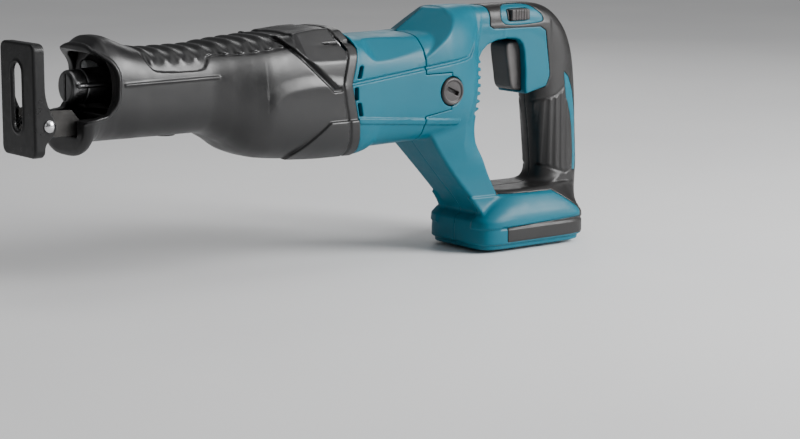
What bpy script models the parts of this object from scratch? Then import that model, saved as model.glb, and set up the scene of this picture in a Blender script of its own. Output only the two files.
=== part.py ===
"""Cordless reciprocating saw with a D-handle, as separate pieces at rest.

Sizes are in millimetres in the tool's own frame: X runs along the stroke with the nose at -X and the handle
at +X, Y is the width with the left side at -Y, and Z is up. There x = 0 is the front face of the shoe and
z = 0 is the stroke axis. The empty "saw" carries that frame to the world, whose origin is at the middle of
the underside of the whole tool.
"""

import math

import bmesh
import bpy
from mathutils import Euler, Vector

MM = 0.001

# Driving dimensions
LENGTH = 483.0  # shoe face to the back of the handle
AXIS_HEIGHT = 146.0  # stroke axis above the underside of the foot
STROKE = 32.0
GAP = 0.3  # air left between pieces that touch

# Casings
BOOT_WALL = 3.0
HOUSING_WALL = 3.0
GRIP_SKIN = 2.0
BOOT_END = 246.0  # where the rubber boot meets the motor housing
SEAM_X = 310.0  # where the motor housing goes into the handle halves
NOSE_X = 92.0  # front of the alloy gear housing
CHANNEL_END = 151.0  # back of the shoe bar's channel in the gear housing
HOUSING_END = 239.5
PLATE_X = 232.4  # front of the motor's bearing plate

# Drive train
MOTOR_Z = -20.0  # axis of the motor and of its pinion
BRUSH_X = 334.0
GEAR_X = 200.0  # vertical axis of the big bevel gear
GEAR_TEETH = 24
PINION_TEETH = 6
GEAR_OUTER = 31.0  # pitch radius at the outer end of the teeth
TOOTH_LENGTH = 8.0
ADDENDUM = 1.05
DEDENDUM = 1.5
ROD_RADIUS = 7.0
YOKE_BOTTOM = -9.0
CRANK_RADIUS = STROKE / 2

# Shoe
SHOE_HALF_WIDTH = 22.5
SHOE_TOP = 32.0
SHOE_BOTTOM = -43.0
SHEET = 2.6  # thickness of the pressed steel
PIVOT_X = 11.0
PIVOT_Z = -22.0
BAR_BOTTOM = -30.0
BAR_HALF_WIDTH = 18.0
LATCH_X = 112.0  # button that frees the shoe bar
LATCH_STEP = 5.0  # distance between the bar's positions
LATCH_STEPS = 7

# Handle
GRIP_HALF_WIDTH = 17.0
SECTION_POINTS = 16
LOOP_POINTS = 12
LOCK_X = 415.0  # cross bolt above the trigger
LOCK_Z = 30.5
RAIL_HALF = 27.0  # half width of the battery channel
CHANNEL_ROOF = -129.5
LAMP = (58.0, 15.5, 11.0)

# Outsides as (x, half width, top, bottom, squareness). A squareness of 2 is an ellipse.
BOOT = [
    (32.5, 28.5, 24.0, -43.0, 3.0),
    (35, 31.0, 28.0, -45.2, 3.0),
    (38, 32.5, 31.0, -44.0, 3.0),
    (41.5, 33.0, 32.5, -39.0, 3.0),
    (45, 33.0, 33.4, -37.2, 2.8),
    (58, 32.8, 33.0, -37.0, 2.6),
    (66, 32.2, 30.6, -36.9, 2.8),
    (75, 31.8, 26.8, -36.8, 3.0),
    (84, 31.5, 24.9, -36.8, 3.0),
    (94, 31.5, 23.4, -36.9, 3.0),
    (130, 31.5, 23.6, -37.0, 3.0),
    (147, 33.5, 25.4, -44.0, 3.0),
    (163, 36.5, 26.6, -54.0, 3.1),
    (178, 38.6, 27.4, -58.5, 3.2),
    (204, 39.6, 29.0, -61.0, 3.3),
    (226, 39.6, 30.6, -61.8, 3.4),
    (254, 39.4, 30.8, -61.8, 3.5),
]
MOTOR = [
    (238, 38.4, 28.0, -61.8, 3.2),
    (254, 38.2, 23.8, -61.8, 3.2),
    (262, 37.8, 22.6, -60.8, 3.2),
    (270, 37.5, 22.4, -58.0, 3.2),
    (290, 37.4, 22.4, -57.4, 3.2),
    (SEAM_X, 37.6, 22.8, -57.2, 3.2),
]
# The barrel's tail, which goes into the handle halves and holds the rear bearing
SLEEVE = [(SEAM_X - 6, 34.0, 17.5, -53.5, 3.2), (344, 32.6, 16.5, -51.5, 3.0), (357, 18.0, -4, -37, 2.6)]
HUMP = [
    (SEAM_X + GAP, 38.2, 23.2, -57.4, 3.2),
    (318, 38.2, 27.6, -57.2, 3.0),
    (330, 38.0, 34.6, -57.0, 3.0),
    (341, 36.8, 38.4, -56.6, 3.0),
    (357, 33.0, 38.6, -56.0, 2.8),
    (366, 27.5, 38.4, -55.0, 2.6),
    (373, 20.0, 37.5, -52.0, 2.4),
]

# The loop of the handle as (x, z, heading in degrees, half thickness, half width, squareness)
LOOP = [
    (362, 25.0, 0, 12.8, GRIP_HALF_WIDTH, 3.0),
    (392, 25.3, 0, 13.2, GRIP_HALF_WIDTH, 3.0),
    (424, 24.8, -4, 13.8, GRIP_HALF_WIDTH, 2.8),
    (440, 20.0, -28, 17.0, GRIP_HALF_WIDTH, 2.6),
    (451.5, 8.0, -58, 18.6, GRIP_HALF_WIDTH, 2.5),
    (455.8, -8.0, -80, 20.4, GRIP_HALF_WIDTH, 2.5),
    (457.3, -30.0, -90, 21.7, GRIP_HALF_WIDTH, 2.5),
    (459.5, -58.0, -90, 20.5, GRIP_HALF_WIDTH, 2.5),
    (461.1, -86.0, -90, 19.9, GRIP_HALF_WIDTH + 0.2, 2.5),
    (460.5, -99.0, -92, 19.6, 17.5, 2.5),
    (459, -111.0, -92, 18.5, 20.0, 2.6),
    (457, -126.0, -90, 14.0, 26.0, 3.0),
]

# The brace from the motor to the foot, and the foot, as (z, front, back, half width, squareness)
BRACE = [
    (-44, 316, 369, 28.0, 3.6),
    (-60, 326.5, 370, 27.0, 4.2),
    (-76, 339, 376, 24.5, 4.2),
    (-92, 353, 384, 23.0, 4.2),
    (-106, 364, 391.5, 23.5, 4.0),
    (-118, 368, 399, 26.0, 3.8),
    (-129, 369, 406, 31.0, 3.8),
]
FOOT = [
    (-100, 390, 456, 20.0, 3.0),
    (-106, 386, 461, 29.0, 3.2),
    (-119, 371, 468, 37.0, 4.2),
    (-122, 367, 470, 37.5, 4.5),
    (-134.5, 366, 470, 37.5, 4.5),
    (-136, 367, 469, 34.5, 4.5),
    (-AXIS_HEIGHT, 368, 468, 33.5, 4.5),
]

# Seen from the side, as (x, z)
TRIGGER_HOUSING = [
    (414, 24), (446, 24), (447.5, -18), (443, -25.5), (418, -30.4), (417, -28.4), (421.5, -21), (420.5, 3),
    (417, 11),
]
GRIP_LINE = [
    (386, 60), (388, 21), (441, 20), (446, -18), (442, -26.5), (408, -33),
    (404, -92), (387, -96), (387, -135.3), (510, -135.3), (510, 60),
]
MOUTH = [
    (0, 60), (56, 60), (56.2, 24), (57, 12), (57, 2), (55.8, -8), (51, -14.5), (43.5, -17.8), (0, -18.4),
]

# Handle screws as (x, z, how far from the middle plane the underside of the head sits)
SCREWS = [(357, 29, 12.0), (437, 28, 9.0), (461, -44, 9.0), (461, -88, 9.0), (378, -114, 14.0)]


# ---------------------------------------------------------------- scene and materials


def clear_scene():
    for old in list(bpy.data.objects):
        bpy.data.objects.remove(old)


def collection(name):
    made = bpy.data.collections.new(name)
    bpy.context.scene.collection.children.link(made)
    return made


def material(name, colour, roughness, metallic=0.0):
    made = bpy.data.materials.new(name)
    made.use_nodes = True
    shader = made.node_tree.nodes["Principled BSDF"]
    shader.inputs["Base Color"].default_value = (*colour, 1.0)
    shader.inputs["Roughness"].default_value = roughness
    shader.inputs["Metallic"].default_value = metallic
    made.diffuse_color = (*colour, 1.0)
    return made


clear_scene()
SAW = collection("reciprocating_saw")
CUTTERS = collection("cutters")
CUTTERS.hide_render = True

TEAL = material("teal_nylon", (0.0, 0.27, 0.36), 0.38)
RUBBER = material("black_rubber", (0.028, 0.027, 0.028), 0.42)
GRIP = material("black_elastomer", (0.03, 0.028, 0.028), 0.6)
BLACK_STEEL = material("blackened_steel", (0.02, 0.02, 0.021), 0.32, 0.6)
STEEL = material("bright_steel", (0.55, 0.55, 0.56), 0.3, 1.0)
ALLOY = material("cast_alloy", (0.5, 0.5, 0.51), 0.5, 1.0)
DARK_PLASTIC = material("dark_plastic", (0.035, 0.033, 0.034), 0.5)
COPPER = material("copper", (0.72, 0.36, 0.18), 0.35, 1.0)
CARBON = material("carbon", (0.03, 0.03, 0.03), 0.7)
MAGNET = material("ferrite", (0.08, 0.08, 0.085), 0.6)
CLEAR = material("clear_lens", (0.85, 0.87, 0.85), 0.1)
RED = material("red_insulation", (0.45, 0.02, 0.02), 0.5)


# ---------------------------------------------------------------- placing objects


def empty(name, place, parent=None):
    """A frame or a joint's axis. Its place is in the tool's frame."""
    made = bpy.data.objects.new(name, None)
    SAW.objects.link(made)
    attach(made, place, parent)
    return made


def attach(made, place, parent):
    """Puts an object at a place in the tool's frame, below a parent."""
    made.parent = parent
    made.location = Vector(place) * MM - origin_of(parent)


def origin_of(parent):
    """Where a parent stands in the tool's frame, in metres."""
    place = Vector((0, 0, 0))
    while parent is not None and parent.name != "saw":
        place += parent.location
        parent = parent.parent
    return place


saw = empty("saw", (-LENGTH / 2, 0, AXIS_HEIGHT))


def solid(name, mesh, look=None, place=(0, 0, 0), parent=saw):
    """A mesh as a piece with its material, or as a hidden helper where there is no material."""
    made = bpy.data.objects.new(name, mesh)
    attach(made, place, parent)
    if look:
        SAW.objects.link(made)
        mesh.materials.append(look)
    else:
        CUTTERS.objects.link(made)
        made.hide_render = True
        made.display_type = "WIRE"
    return made


def smooth(mesh):
    mesh.shade_smooth()
    mesh.set_sharp_from_angle(angle=math.radians(35))
    return mesh


def evaluated_mesh(made):
    bpy.context.view_layer.update()
    graph = bpy.context.evaluated_depsgraph_get()
    return bpy.data.meshes.new_from_object(made.evaluated_get(graph))


def settle(made):
    """Works the modifiers into the mesh."""
    mesh = evaluated_mesh(made)
    made.modifiers.clear()
    made.data = smooth(weld(mesh))
    return made


def weld(mesh):
    work = bmesh.new()
    work.from_mesh(mesh)
    bmesh.ops.remove_doubles(work, verts=work.verts, dist=0.001 * MM)
    bmesh.ops.triangulate(work, faces=work.faces[:])
    bmesh.ops.recalc_face_normals(work, faces=work.faces)
    work.to_mesh(mesh)
    work.free()
    return mesh


def mesh_of(work, name):
    """A mesh from a finished bmesh in millimetres."""
    bmesh.ops.scale(work, vec=(MM, MM, MM), verts=work.verts)
    mesh = bpy.data.meshes.new(name)
    work.to_mesh(mesh)
    work.free()
    return smooth(mesh)


# ---------------------------------------------------------------- making shapes

# Turns that take Z to the axis of a round bar
BAR_TURN = {"X": Euler((0, math.pi / 2, 0)), "Y": Euler((-math.pi / 2, 0, 0)), "Z": Euler((0, 0, 0))}
# Turns that take a flat outline's own X and Y to Y and Z, to X and Z, or to X and Y
SLAB_TURN = {
    "X": Euler((math.pi / 2, 0, math.pi / 2)),
    "Y": Euler((math.pi / 2, 0, 0)),
    "Z": Euler((0, 0, 0)),
}
ALONG = {"X": Vector((1, 0, 0)), "Y": Vector((0, 1, 0)), "Z": Vector((0, 0, 1))}


def bar(name, radius, low, high, look=None, axis="X", place=(0, 0, 0), parent=saw, sides=24):
    """A round bar from low to high along an axis, measured from its place."""
    work = bmesh.new()
    size = {"radius1": radius, "radius2": radius, "depth": high - low}
    bmesh.ops.create_cone(work, cap_ends=True, segments=sides, **size)
    bmesh.ops.translate(work, vec=(0, 0, (high + low) / 2), verts=work.verts)
    made = solid(name, mesh_of(work, name), look, place, parent)
    made.rotation_euler = BAR_TURN[axis]
    return made


def block(name, low, high, look=None, parent=saw, edge=0.0):
    """A box between two corners, with its edges broken by edge."""
    low, high = Vector(low), Vector(high)
    work = bmesh.new()
    bmesh.ops.create_cube(work, size=1)
    bmesh.ops.scale(work, vec=high - low, verts=work.verts)
    if edge:
        bmesh.ops.bevel(work, geom=work.edges[:], offset=edge, segments=1, affect="EDGES")
    return solid(name, mesh_of(work, name), look, (low + high) / 2, parent)


def slab(name, outline, low, high, look=None, axis="Y", place=(0, 0, 0), parent=saw):
    """A flat outline made thick from low to high along an axis."""
    curve = bpy.data.curves.new(name, "CURVE")
    curve.dimensions = "2D"
    curve.fill_mode = "BOTH"
    curve.extrude = (high - low) / 2 * MM
    spline = curve.splines.new("POLY")
    spline.points.add(len(outline) - 1)
    for target, (a, b) in zip(spline.points, outline):
        target.co = (a * MM, b * MM, 0, 1)
    spline.use_cyclic_u = True
    guide = bpy.data.objects.new(name, curve)
    CUTTERS.objects.link(guide)
    mesh = weld(evaluated_mesh(guide))
    bpy.data.objects.remove(guide)
    middle = ALONG[axis] * (high + low) / 2
    made = solid(name, smooth(mesh), look, Vector(place) + middle, parent)
    made.rotation_euler = SLAB_TURN[axis]
    return made


def turned(name, profile, look=None, axis="X", place=(0, 0, 0), parent=saw, steps=28):
    """A profile of (along, radius) points turned about an axis. It is a ring unless it ends on the axis."""
    ring = profile[0][1] > 0
    area = sum(a[0] * b[1] - b[0] * a[1] for a, b in zip(profile, profile[1:] + profile[:1]))
    if area < 0:
        profile = profile[::-1]
    work = bmesh.new()
    points = [work.verts.new((radius, 0, along)) for along, radius in profile]
    for a, b in zip(points, points[1:] + (points[:1] if ring else [])):
        work.edges.new((a, b))
    made = solid(name, mesh_of(work, name), look, place, parent)
    made.rotation_euler = BAR_TURN[axis]
    screw = made.modifiers.new("Screw", "SCREW")
    screw.steps = screw.render_steps = steps
    screw.use_merge_vertices = True
    screw.merge_threshold = 0.01 * MM
    return settle(made)


def superellipse(count, squareness):
    """Points round a unit section."""
    points = []
    for k in range(count):
        angle = 2 * math.pi * (k + 0.5) / count
        c, s = math.cos(angle), math.sin(angle)
        power = 2 / squareness
        points.append((math.copysign(abs(c) ** power, c), math.copysign(abs(s) ** power, s)))
    return points


def loft(name, rings, look=None, place=(0, 0, 0), parent=saw):
    """A closed skin through rings of equally many points, with a flat face on each end."""
    work = bmesh.new()
    skin = [[work.verts.new(point) for point in ring] for ring in rings]
    for ring, after in zip(skin, skin[1:]):
        for k in range(len(ring)):
            j = (k + 1) % len(ring)
            work.faces.new((ring[k], ring[j], after[j], after[k]))
    work.faces.new(skin[0])
    work.faces.new(skin[-1])
    bmesh.ops.triangulate(work, faces=work.faces[:])
    bmesh.ops.recalc_face_normals(work, faces=work.faces)
    return solid(name, mesh_of(work, name), look, place, parent)


def body_along_x(name, stations, look=None, inset=0.0, grow_ends=(0.0, 0.0), points=SECTION_POINTS):
    """A loft through (x, half width, top, bottom, squareness). The ends can be moved outward."""
    rings = []
    for k, (x, half, top, bottom, squareness) in enumerate(stations):
        x -= grow_ends[0] if k == 0 else 0
        x += grow_ends[1] if k == len(stations) - 1 else 0
        middle, height = (top + bottom) / 2, (top - bottom) / 2
        shape = superellipse(points, squareness)
        rings.append([(x, (half - inset) * c, middle + (height - inset) * s) for c, s in shape])
    return loft(name, rings, look)


def body_along_z(name, stations, inset=0.0, grow_ends=(0.0, 0.0), points=SECTION_POINTS):
    """A helper through (z, front, back, half width, squareness), listed downward."""
    rings = []
    for k, (z, front, back, half, squareness) in enumerate(stations):
        z += grow_ends[0] if k == 0 else 0
        z -= grow_ends[1] if k == len(stations) - 1 else 0
        middle, depth = (front + back) / 2, (back - front) / 2
        shape = superellipse(points, squareness)
        rings.append([(middle + (depth - inset) * c, (half - inset) * s, z) for c, s in shape])
    return loft(name, rings)


def body_along_path(name, stations, inset=0.0):
    """A helper through (x, z, heading, half thickness, half width, squareness) in the plane y = 0."""
    rings = []
    for x, z, heading, thick, half, squareness in stations:
        angle = math.radians(heading)
        across = Vector((-math.sin(angle), 0, math.cos(angle)))
        ring = []
        for c, s in superellipse(LOOP_POINTS, squareness):
            ring.append(Vector((x, (half - inset) * c, z)) + across * (thick - inset) * s)
        rings.append(ring)
    return loft(name, rings)


def smooth_route(route, per_span):
    """Points on a Catmull-Rom curve through the route's points."""
    route = [Vector(point) for point in route]
    ends = [2 * route[0] - route[1], *route, 2 * route[-1] - route[-2]]
    points = []
    for before, a, b, after in zip(ends, ends[1:], ends[2:], ends[3:]):
        for step in range(per_span):
            t = step / per_span
            square = 2 * before - 5 * a + 4 * b - after
            cube = 3 * a - before - 3 * b + after
            points.append((2 * a + (b - before) * t + square * t**2 + cube * t**3) / 2)
    return [*points, route[-1]]


def wire(name, points, radius, look, place=(0, 0, 0), parent=saw):
    """A round wire through points."""
    curve = bpy.data.curves.new(name, "CURVE")
    curve.dimensions = "3D"
    curve.bevel_depth = radius * MM
    curve.bevel_resolution = 2
    curve.use_fill_caps = True
    spline = curve.splines.new("POLY")
    spline.points.add(len(points) - 1)
    for target, point in zip(spline.points, points):
        target.co = (*(Vector(point) * MM), 1)
    made = bpy.data.objects.new(name, curve)
    SAW.objects.link(made)
    attach(made, place, parent)
    curve.materials.append(look)
    return made


def arc(centre, radius, start, end, count=8):
    """Points on an arc from start to end, in degrees."""
    points = []
    for k in range(count + 1):
        angle = math.radians(start + (end - start) * k / count)
        points.append((centre[0] + radius * math.cos(angle), centre[1] + radius * math.sin(angle)))
    return points


def coil(radius, low, high, turns, axis="X"):
    """Points along a helix."""
    steps = 8
    points = []
    for k in range(turns * steps + 1):
        angle = 2 * math.pi * k / steps
        along = low + (high - low) * k / (turns * steps)
        point = Vector((radius * math.cos(angle), radius * math.sin(angle), along))
        point.rotate(BAR_TURN[axis])
        points.append(point)
    return points


def boolean(target, operation, others):
    for other in others:
        modifier = target.modifiers.new(operation.title(), "BOOLEAN")
        modifier.operation = operation
        modifier.solver = "EXACT"
        modifier.object = other
    return target


def cut(target, *others):
    return boolean(target, "DIFFERENCE", others)


def join(target, *others):
    return boolean(target, "UNION", others)


def keep(target, *others):
    return boolean(target, "INTERSECT", others)


def span(side, near, far):
    """Low and high of a stretch from near to far on the left (-1) or right (1)."""
    return sorted((side * near, side * far))


# ---------------------------------------------------------------- shoe


def make_shoe():
    slide = empty("shoe_slide", (0, 0, 0), saw)
    make_shoe_bar(slide)
    hinge = empty("shoe_pivot", (PIVOT_X, 0, PIVOT_Z), slide)
    pivot = (PIVOT_X, 0, PIVOT_Z)
    flank = [
        (0, SHOE_TOP), (8.2, SHOE_TOP), (8.4, 4), (9.0, -3), (11.0, -10), (14.8, -17), (16.6, -22),
        (15.2, -27.3), (10.8, -31.5), (8.0, -35.4), (7.2, SHOE_BOTTOM), (0, SHOE_BOTTOM),
    ]
    shoe = slab("shoe_plate", flank, -SHOE_HALF_WIDTH, SHOE_HALF_WIDTH, BLACK_STEEL, parent=hinge)
    inner = SHOE_HALF_WIDTH - SHEET
    slot = arc((0, 12.0), 6.5, 0, 180) + arc((0, -20.0), 6.5, 180, 360)
    cut(
        shoe,
        block("shoe_hollow", (SHEET, -inner, -60), (40, inner, 60)),
        slab("shoe_slot", slot, -10, 20, axis="X"),
        bar("shoe_rivet_hole", 3.3, -40, 40, axis="Y", place=pivot, sides=20),
    )
    head = SHOE_HALF_WIDTH + GAP
    profile = [
        (-head - 2.0, 0), (-head - 1.6, 2.6), (-head, 4.4), (-head, 3.0),
        (head, 3.0), (head, 4.4), (head + 1.6, 2.6), (head + 2.0, 0),
    ]
    turned("shoe_rivet", profile, STEEL, "Y", pivot, slide, 20)


def make_shoe_bar(slide):
    """A steel channel that slides under the plunger, with two ears for the rivet and a row of notches."""
    side_view = [
        (9, -14), (15, -12.5), (30, -13), (36, -20.5), (148, -20.5), (148, BAR_BOTTOM), (17, BAR_BOTTOM),
        (9, -27),
    ]
    strip = slab("shoe_bar", side_view, -BAR_HALF_WIDTH, BAR_HALF_WIDTH, STEEL, parent=slide)
    inner = BAR_HALF_WIDTH - SHEET
    last_notch = LATCH_X + LATCH_STEP * (LATCH_STEPS - 1)
    cut(
        strip,
        block("bar_hollow", (0, -inner, BAR_BOTTOM + SHEET), (160, inner, 0)),
        block("bar_front", (0, -inner, -50), (20, inner, 0)),
        bar("bar_rivet_hole", 3.3, -40, 40, axis="Y", place=(PIVOT_X, 0, PIVOT_Z), sides=20),
        block("bar_slot", (LATCH_X - 2.2, -2.0, -50), (last_notch + 2.2, 2.0, 0)),
    )
    for k in range(LATCH_STEPS):
        x = LATCH_X + LATCH_STEP * k
        cut(strip, block("bar_notch", (x - 1.5, -5.0, -50), (x + 1.5, 5.0, 0)))


def make_shoe_latch():
    """A button under the boot. Its tooth sits in a notch of the bar, and rises clear when it is pressed."""
    lift = empty("shoe_button_slide", (LATCH_X, 0, -34), saw)
    place = (LATCH_X, 0, 0)
    neck = -34.6
    profile = [(-38.2, 0), (-38.2, 5.8), (-37.4, 7.0), (neck, 7.0), (neck, 1.6), (-29.4, 1.6), (-29.4, 0)]
    button = turned("shoe_lock_button", profile, DARK_PLASTIC, "Z", place, lift, 20)
    join(button, block("latch_tooth", (LATCH_X - 1.2, -4.5, -30.4), (LATCH_X + 1.2, 4.5, -27.8)))


# ---------------------------------------------------------------- boot and gear housing


def make_boot():
    boot = body_along_x("boot", BOOT, RUBBER)
    inside = body_along_x("boot_inside", BOOT, inset=BOOT_WALL, grow_ends=(3, 3))
    mouth = slab("boot_mouth", MOUTH, -60, 60)
    inner = BAR_HALF_WIDTH + 0.6
    cut(boot, inside, mouth, block("chin_tunnel", (20, -inner, BAR_BOTTOM - 0.6), (60, inner, -12)))
    behind = chevron("behind_boot", BOOT_END, 1)
    cut(boot, behind, bar("boot_button_hole", 7.3, -60, -25, axis="Z", place=(LATCH_X, 0, 0), sides=20))


def chevron(name, x, side):
    """Everything in front of (-1) or behind (1) a joint that dips forward at mid height."""
    line = [
        (x + 8, -100), (x + 6, -56), (x + 2, -32), (x - 3.2, -9), (x + 4.5, 16), (x - 2.5, 29), (x - 8, 80),
    ]
    far = x + side * 300
    return slab(name, [*line, (far, 80), (far, -100)], -80, 80)


def make_gear_housing():
    """The alloy casting in the boot: a nose for the rod and the shoe bar, and a hollow belly for the gear."""
    clear = BOOT_WALL + GAP
    outline = [(NOSE_X, *BOOT[9][1:]), *BOOT[10:-1], (HOUSING_END, 39.5, 30.6, -61.8, 3.4)]
    belly = [(156, 34.5, 25.6, -48.0, 3.0), *[row for row in outline if row[0] > 160]]
    hollow = body_along_x("housing_hollow", belly, inset=clear + HOUSING_WALL, grow_ends=(0, 20))
    inner = BAR_HALF_WIDTH + 0.5
    channel = block("bar_channel", (NOSE_X - 10, -inner, BAR_BOTTOM - 0.5), (CHANNEL_END, inner, -19.8))
    below = block("below_split", (NOSE_X + 20, -60, -90), (260, 60, -50))
    above = block("above_split", (NOSE_X, -60, -50 - GAP), (260, 60, 60))
    button_hole = bar("housing_button_hole", 7.4, -60, -25, axis="Z", place=(LATCH_X, 0, 0), sides=20)
    housing = body_along_x("gear_housing", outline, ALLOY, clear)
    cut(housing, hollow, channel, below, button_hole, bar("rod_bore", 12.0, NOSE_X - 10, 165, sides=28))
    cover = body_along_x("gear_housing_cover", outline, ALLOY, clear)
    cut(cover, hollow, above)
    join(cover, bar("cover_boss", 11.0, -55.8, -51.5, axis="Z", place=(GEAR_X, 0, 0), sides=28))
    cut(cover, bar("cover_seat", 8.2, -55.1, -40.0, axis="Z", place=(GEAR_X, 0, 0), sides=28))


def make_collar():
    """The dark ring behind the boot's mouth, with the lamp in it."""
    stations = [*BOOT[5:9], (NOSE_X - GAP, *BOOT[9][1:])]
    ring = body_along_x("front_collar", stations, DARK_PLASTIC, BOOT_WALL + GAP)
    lamp = Vector((0, LAMP[1], LAMP[2]))
    cut(
        ring,
        bar("collar_bore", 15.0, 50, 100, sides=28),
        block("below_collar", (50, -60, -60), (100, 60, -17)),
        bar("lamp_bore", 4.6, 50, 76, place=lamp, sides=16),
    )
    profile = [(0, 0), (0.8, 2.6), (2.4, 4.3), (9.0, 4.3), (9.0, 0)]
    turned("led_lens", profile, CLEAR, "X", LAMP, steps=16)
    bar("led_board", 4.2, 68.0, 69.6, DARK_PLASTIC, "X", lamp, sides=16)


def make_rod_guides():
    bush = [(0, 7.4), (0, 11.7), (16, 11.7), (16, 7.4)]
    for name, x in (("rod_bush_front", 99.0), ("rod_bush_rear", 144.0)):
        turned(name, bush, STEEL, "X", (x, 0, 0), steps=24)
    seal = [(0, 7.4), (0, 11.7), (5, 11.7), (3.5, 7.4)]
    turned("rod_seal", seal, RUBBER, "X", (93.0, 0, 0), steps=24)


# ---------------------------------------------------------------- plunger and blade clamp


def make_plunger():
    """The rod, the yoke that the crank drives, and the blade clamp, on one slide."""
    slide = empty("plunger_slide", (0, 0, 0), saw)
    rod_end = 184.0
    bar("plunger_rod", ROD_RADIUS, 60, rod_end, STEEL, parent=slide)
    yoke = block("yoke", (rod_end + GAP, -25, YOKE_BOTTOM), (215.7, 25, -1), STEEL, slide, 0.8)
    join(yoke, block("yoke_block", (rod_end + GAP, -9, -4), (194.4, 9, 7), edge=0.8))
    cut(yoke, block("yoke_slot", (GEAR_X - 5.3, -21.5, -20), (GEAR_X + 5.3, 21.5, 20)))
    profile = [
        (35.5, 0), (35.8, 7.0), (37.4, 10.0), (40.0, 11.2), (45.9, 11.5), (45.9, 9.6), (59.7, 9.6), (59.7, 0),
    ]
    holder = turned("blade_holder", profile, BLACK_STEEL, "X", parent=slide, steps=20)
    cut(holder, block("blade_slot", (30, -1.0, -9.0), (54, 1.0, 9.0)))
    twist = empty("sleeve_axis", (0, 0, 0), slide)
    ring = [(0, 9.9), (0, 11.4), (1.0, 12.2), (27.2, 12.2), (28.0, 11.4), (28.0, 9.9)]
    sleeve = turned("clamp_sleeve", ring, BLACK_STEEL, "X", (46.2, 0, 0), twist, 20)
    join(sleeve, block("sleeve_lever", (45.7, -13.6, -1.7), (68, -11.0, 1.7), edge=0.6))
    wire("clamp_spring", coil(8.5, 61.5, 73.0, 3), 0.6, STEEL, parent=slide)


# ---------------------------------------------------------------- bevel gears

PITCH_ANGLE = math.atan2(GEAR_TEETH, PINION_TEETH)
CONE_OUTER = GEAR_OUTER / math.sin(PITCH_ANGLE)
CONE_INNER = CONE_OUTER - TOOTH_LENGTH


def tooth_ring(teeth, pitch_angle, cone_distance, shift=0.0):
    """Straight bevel teeth at one distance from the cone's apex, at the origin with the axis on +Z."""
    size = cone_distance / CONE_OUTER
    ring = []
    for k in range(teeth):
        for offset, lift in ((-0.23, -DEDENDUM), (-0.095, ADDENDUM), (0.095, ADDENDUM), (0.23, -DEDENDUM)):
            angle = 2 * math.pi * (k + offset + shift) / teeth
            radius = cone_distance * math.sin(pitch_angle) + lift * size * math.cos(pitch_angle)
            height = cone_distance * math.cos(pitch_angle) - lift * size * math.sin(pitch_angle)
            ring.append(Vector((radius * math.cos(angle), radius * math.sin(angle), height)))
    return ring


def plain_ring(like, radius, height):
    """A circle with its points at the same angles as another ring's."""
    ring = []
    for point in like:
        flat = Vector((point.x, point.y, 0)).normalized() * radius
        ring.append(flat + Vector((0, 0, height)))
    return ring


def make_gears():
    """The gear lies flat with its teeth up, and the pinion on the motor's shaft meets it from above."""
    gear_axis = empty("gear_axis", (GEAR_X, 0, MOTOR_Z), saw)
    centre = (GEAR_X, 0, MOTOR_Z)
    outer = tooth_ring(GEAR_TEETH, PITCH_ANGLE, CONE_OUTER)
    inner = tooth_ring(GEAR_TEETH, PITCH_ANGLE, CONE_INNER)
    rings = [plain_ring(outer, 21.0, 8.0), inner, outer, plain_ring(outer, GEAR_OUTER - 1.0, 13.5)]
    rings = [[Vector((p.x, p.y, -p.z)) for p in ring] for ring in rings]
    gear = loft("bevel_gear", rings, STEEL, centre, gear_axis)
    join(
        gear,
        bar("gear_hub", 8.6, -14.8, -6.5, axis="Z", place=centre),
        bar("gear_stem", 6.0, -34.0, -14.0, axis="Z", place=centre),
    )
    pin_place = Vector(centre) + Vector((0, -CRANK_RADIUS, 0))
    cut(gear, bar("crank_pin_hole", 3.0 + GAP, -12.0, 0.0, axis="Z", place=pin_place, sides=20))
    bar("crank_pin", 3.0, -11.5, 9.0, STEEL, "Z", pin_place, gear_axis, 20)
    roller = [(-7.4, 3.3), (-7.4, 5.0), (10.2, 5.0), (10.2, 3.3)]
    turned("crank_roller", roller, STEEL, "Z", pin_place, gear_axis, 20)
    slope = math.pi / 2 - PITCH_ANGLE
    ends = (CONE_INNER, CONE_OUTER)
    near, far = (tooth_ring(PINION_TEETH, slope, distance, 0.5) for distance in ends)
    near_face, far_face = (plain_ring(near, 4.2, distance * math.cos(slope)) for distance in ends)
    motor_axis = bpy.data.objects["motor_axis"]
    small = loft("pinion", [near_face, near, far, far_face], STEEL, centre, motor_axis)
    small.rotation_euler = BAR_TURN["X"]
    cut(small, bar("pinion_bore", 3.0 + GAP, 10, 50, place=centre, sides=20))


def make_gear_bearings():
    upper = [(-23.0, 6.4), (-23.0, 13.0), (-15.3, 13.0), (-15.3, 6.4)]
    turned("gear_upper_bearing", upper, STEEL, "Z", (GEAR_X, 0, MOTOR_Z), steps=24)
    lower = [(-34.8, 6.4), (-34.8, 7.9), (-28.0, 7.9), (-28.0, 6.4)]
    turned("gear_lower_bush", lower, STEEL, "Z", (GEAR_X, 0, MOTOR_Z), steps=24)


# ---------------------------------------------------------------- motor


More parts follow.
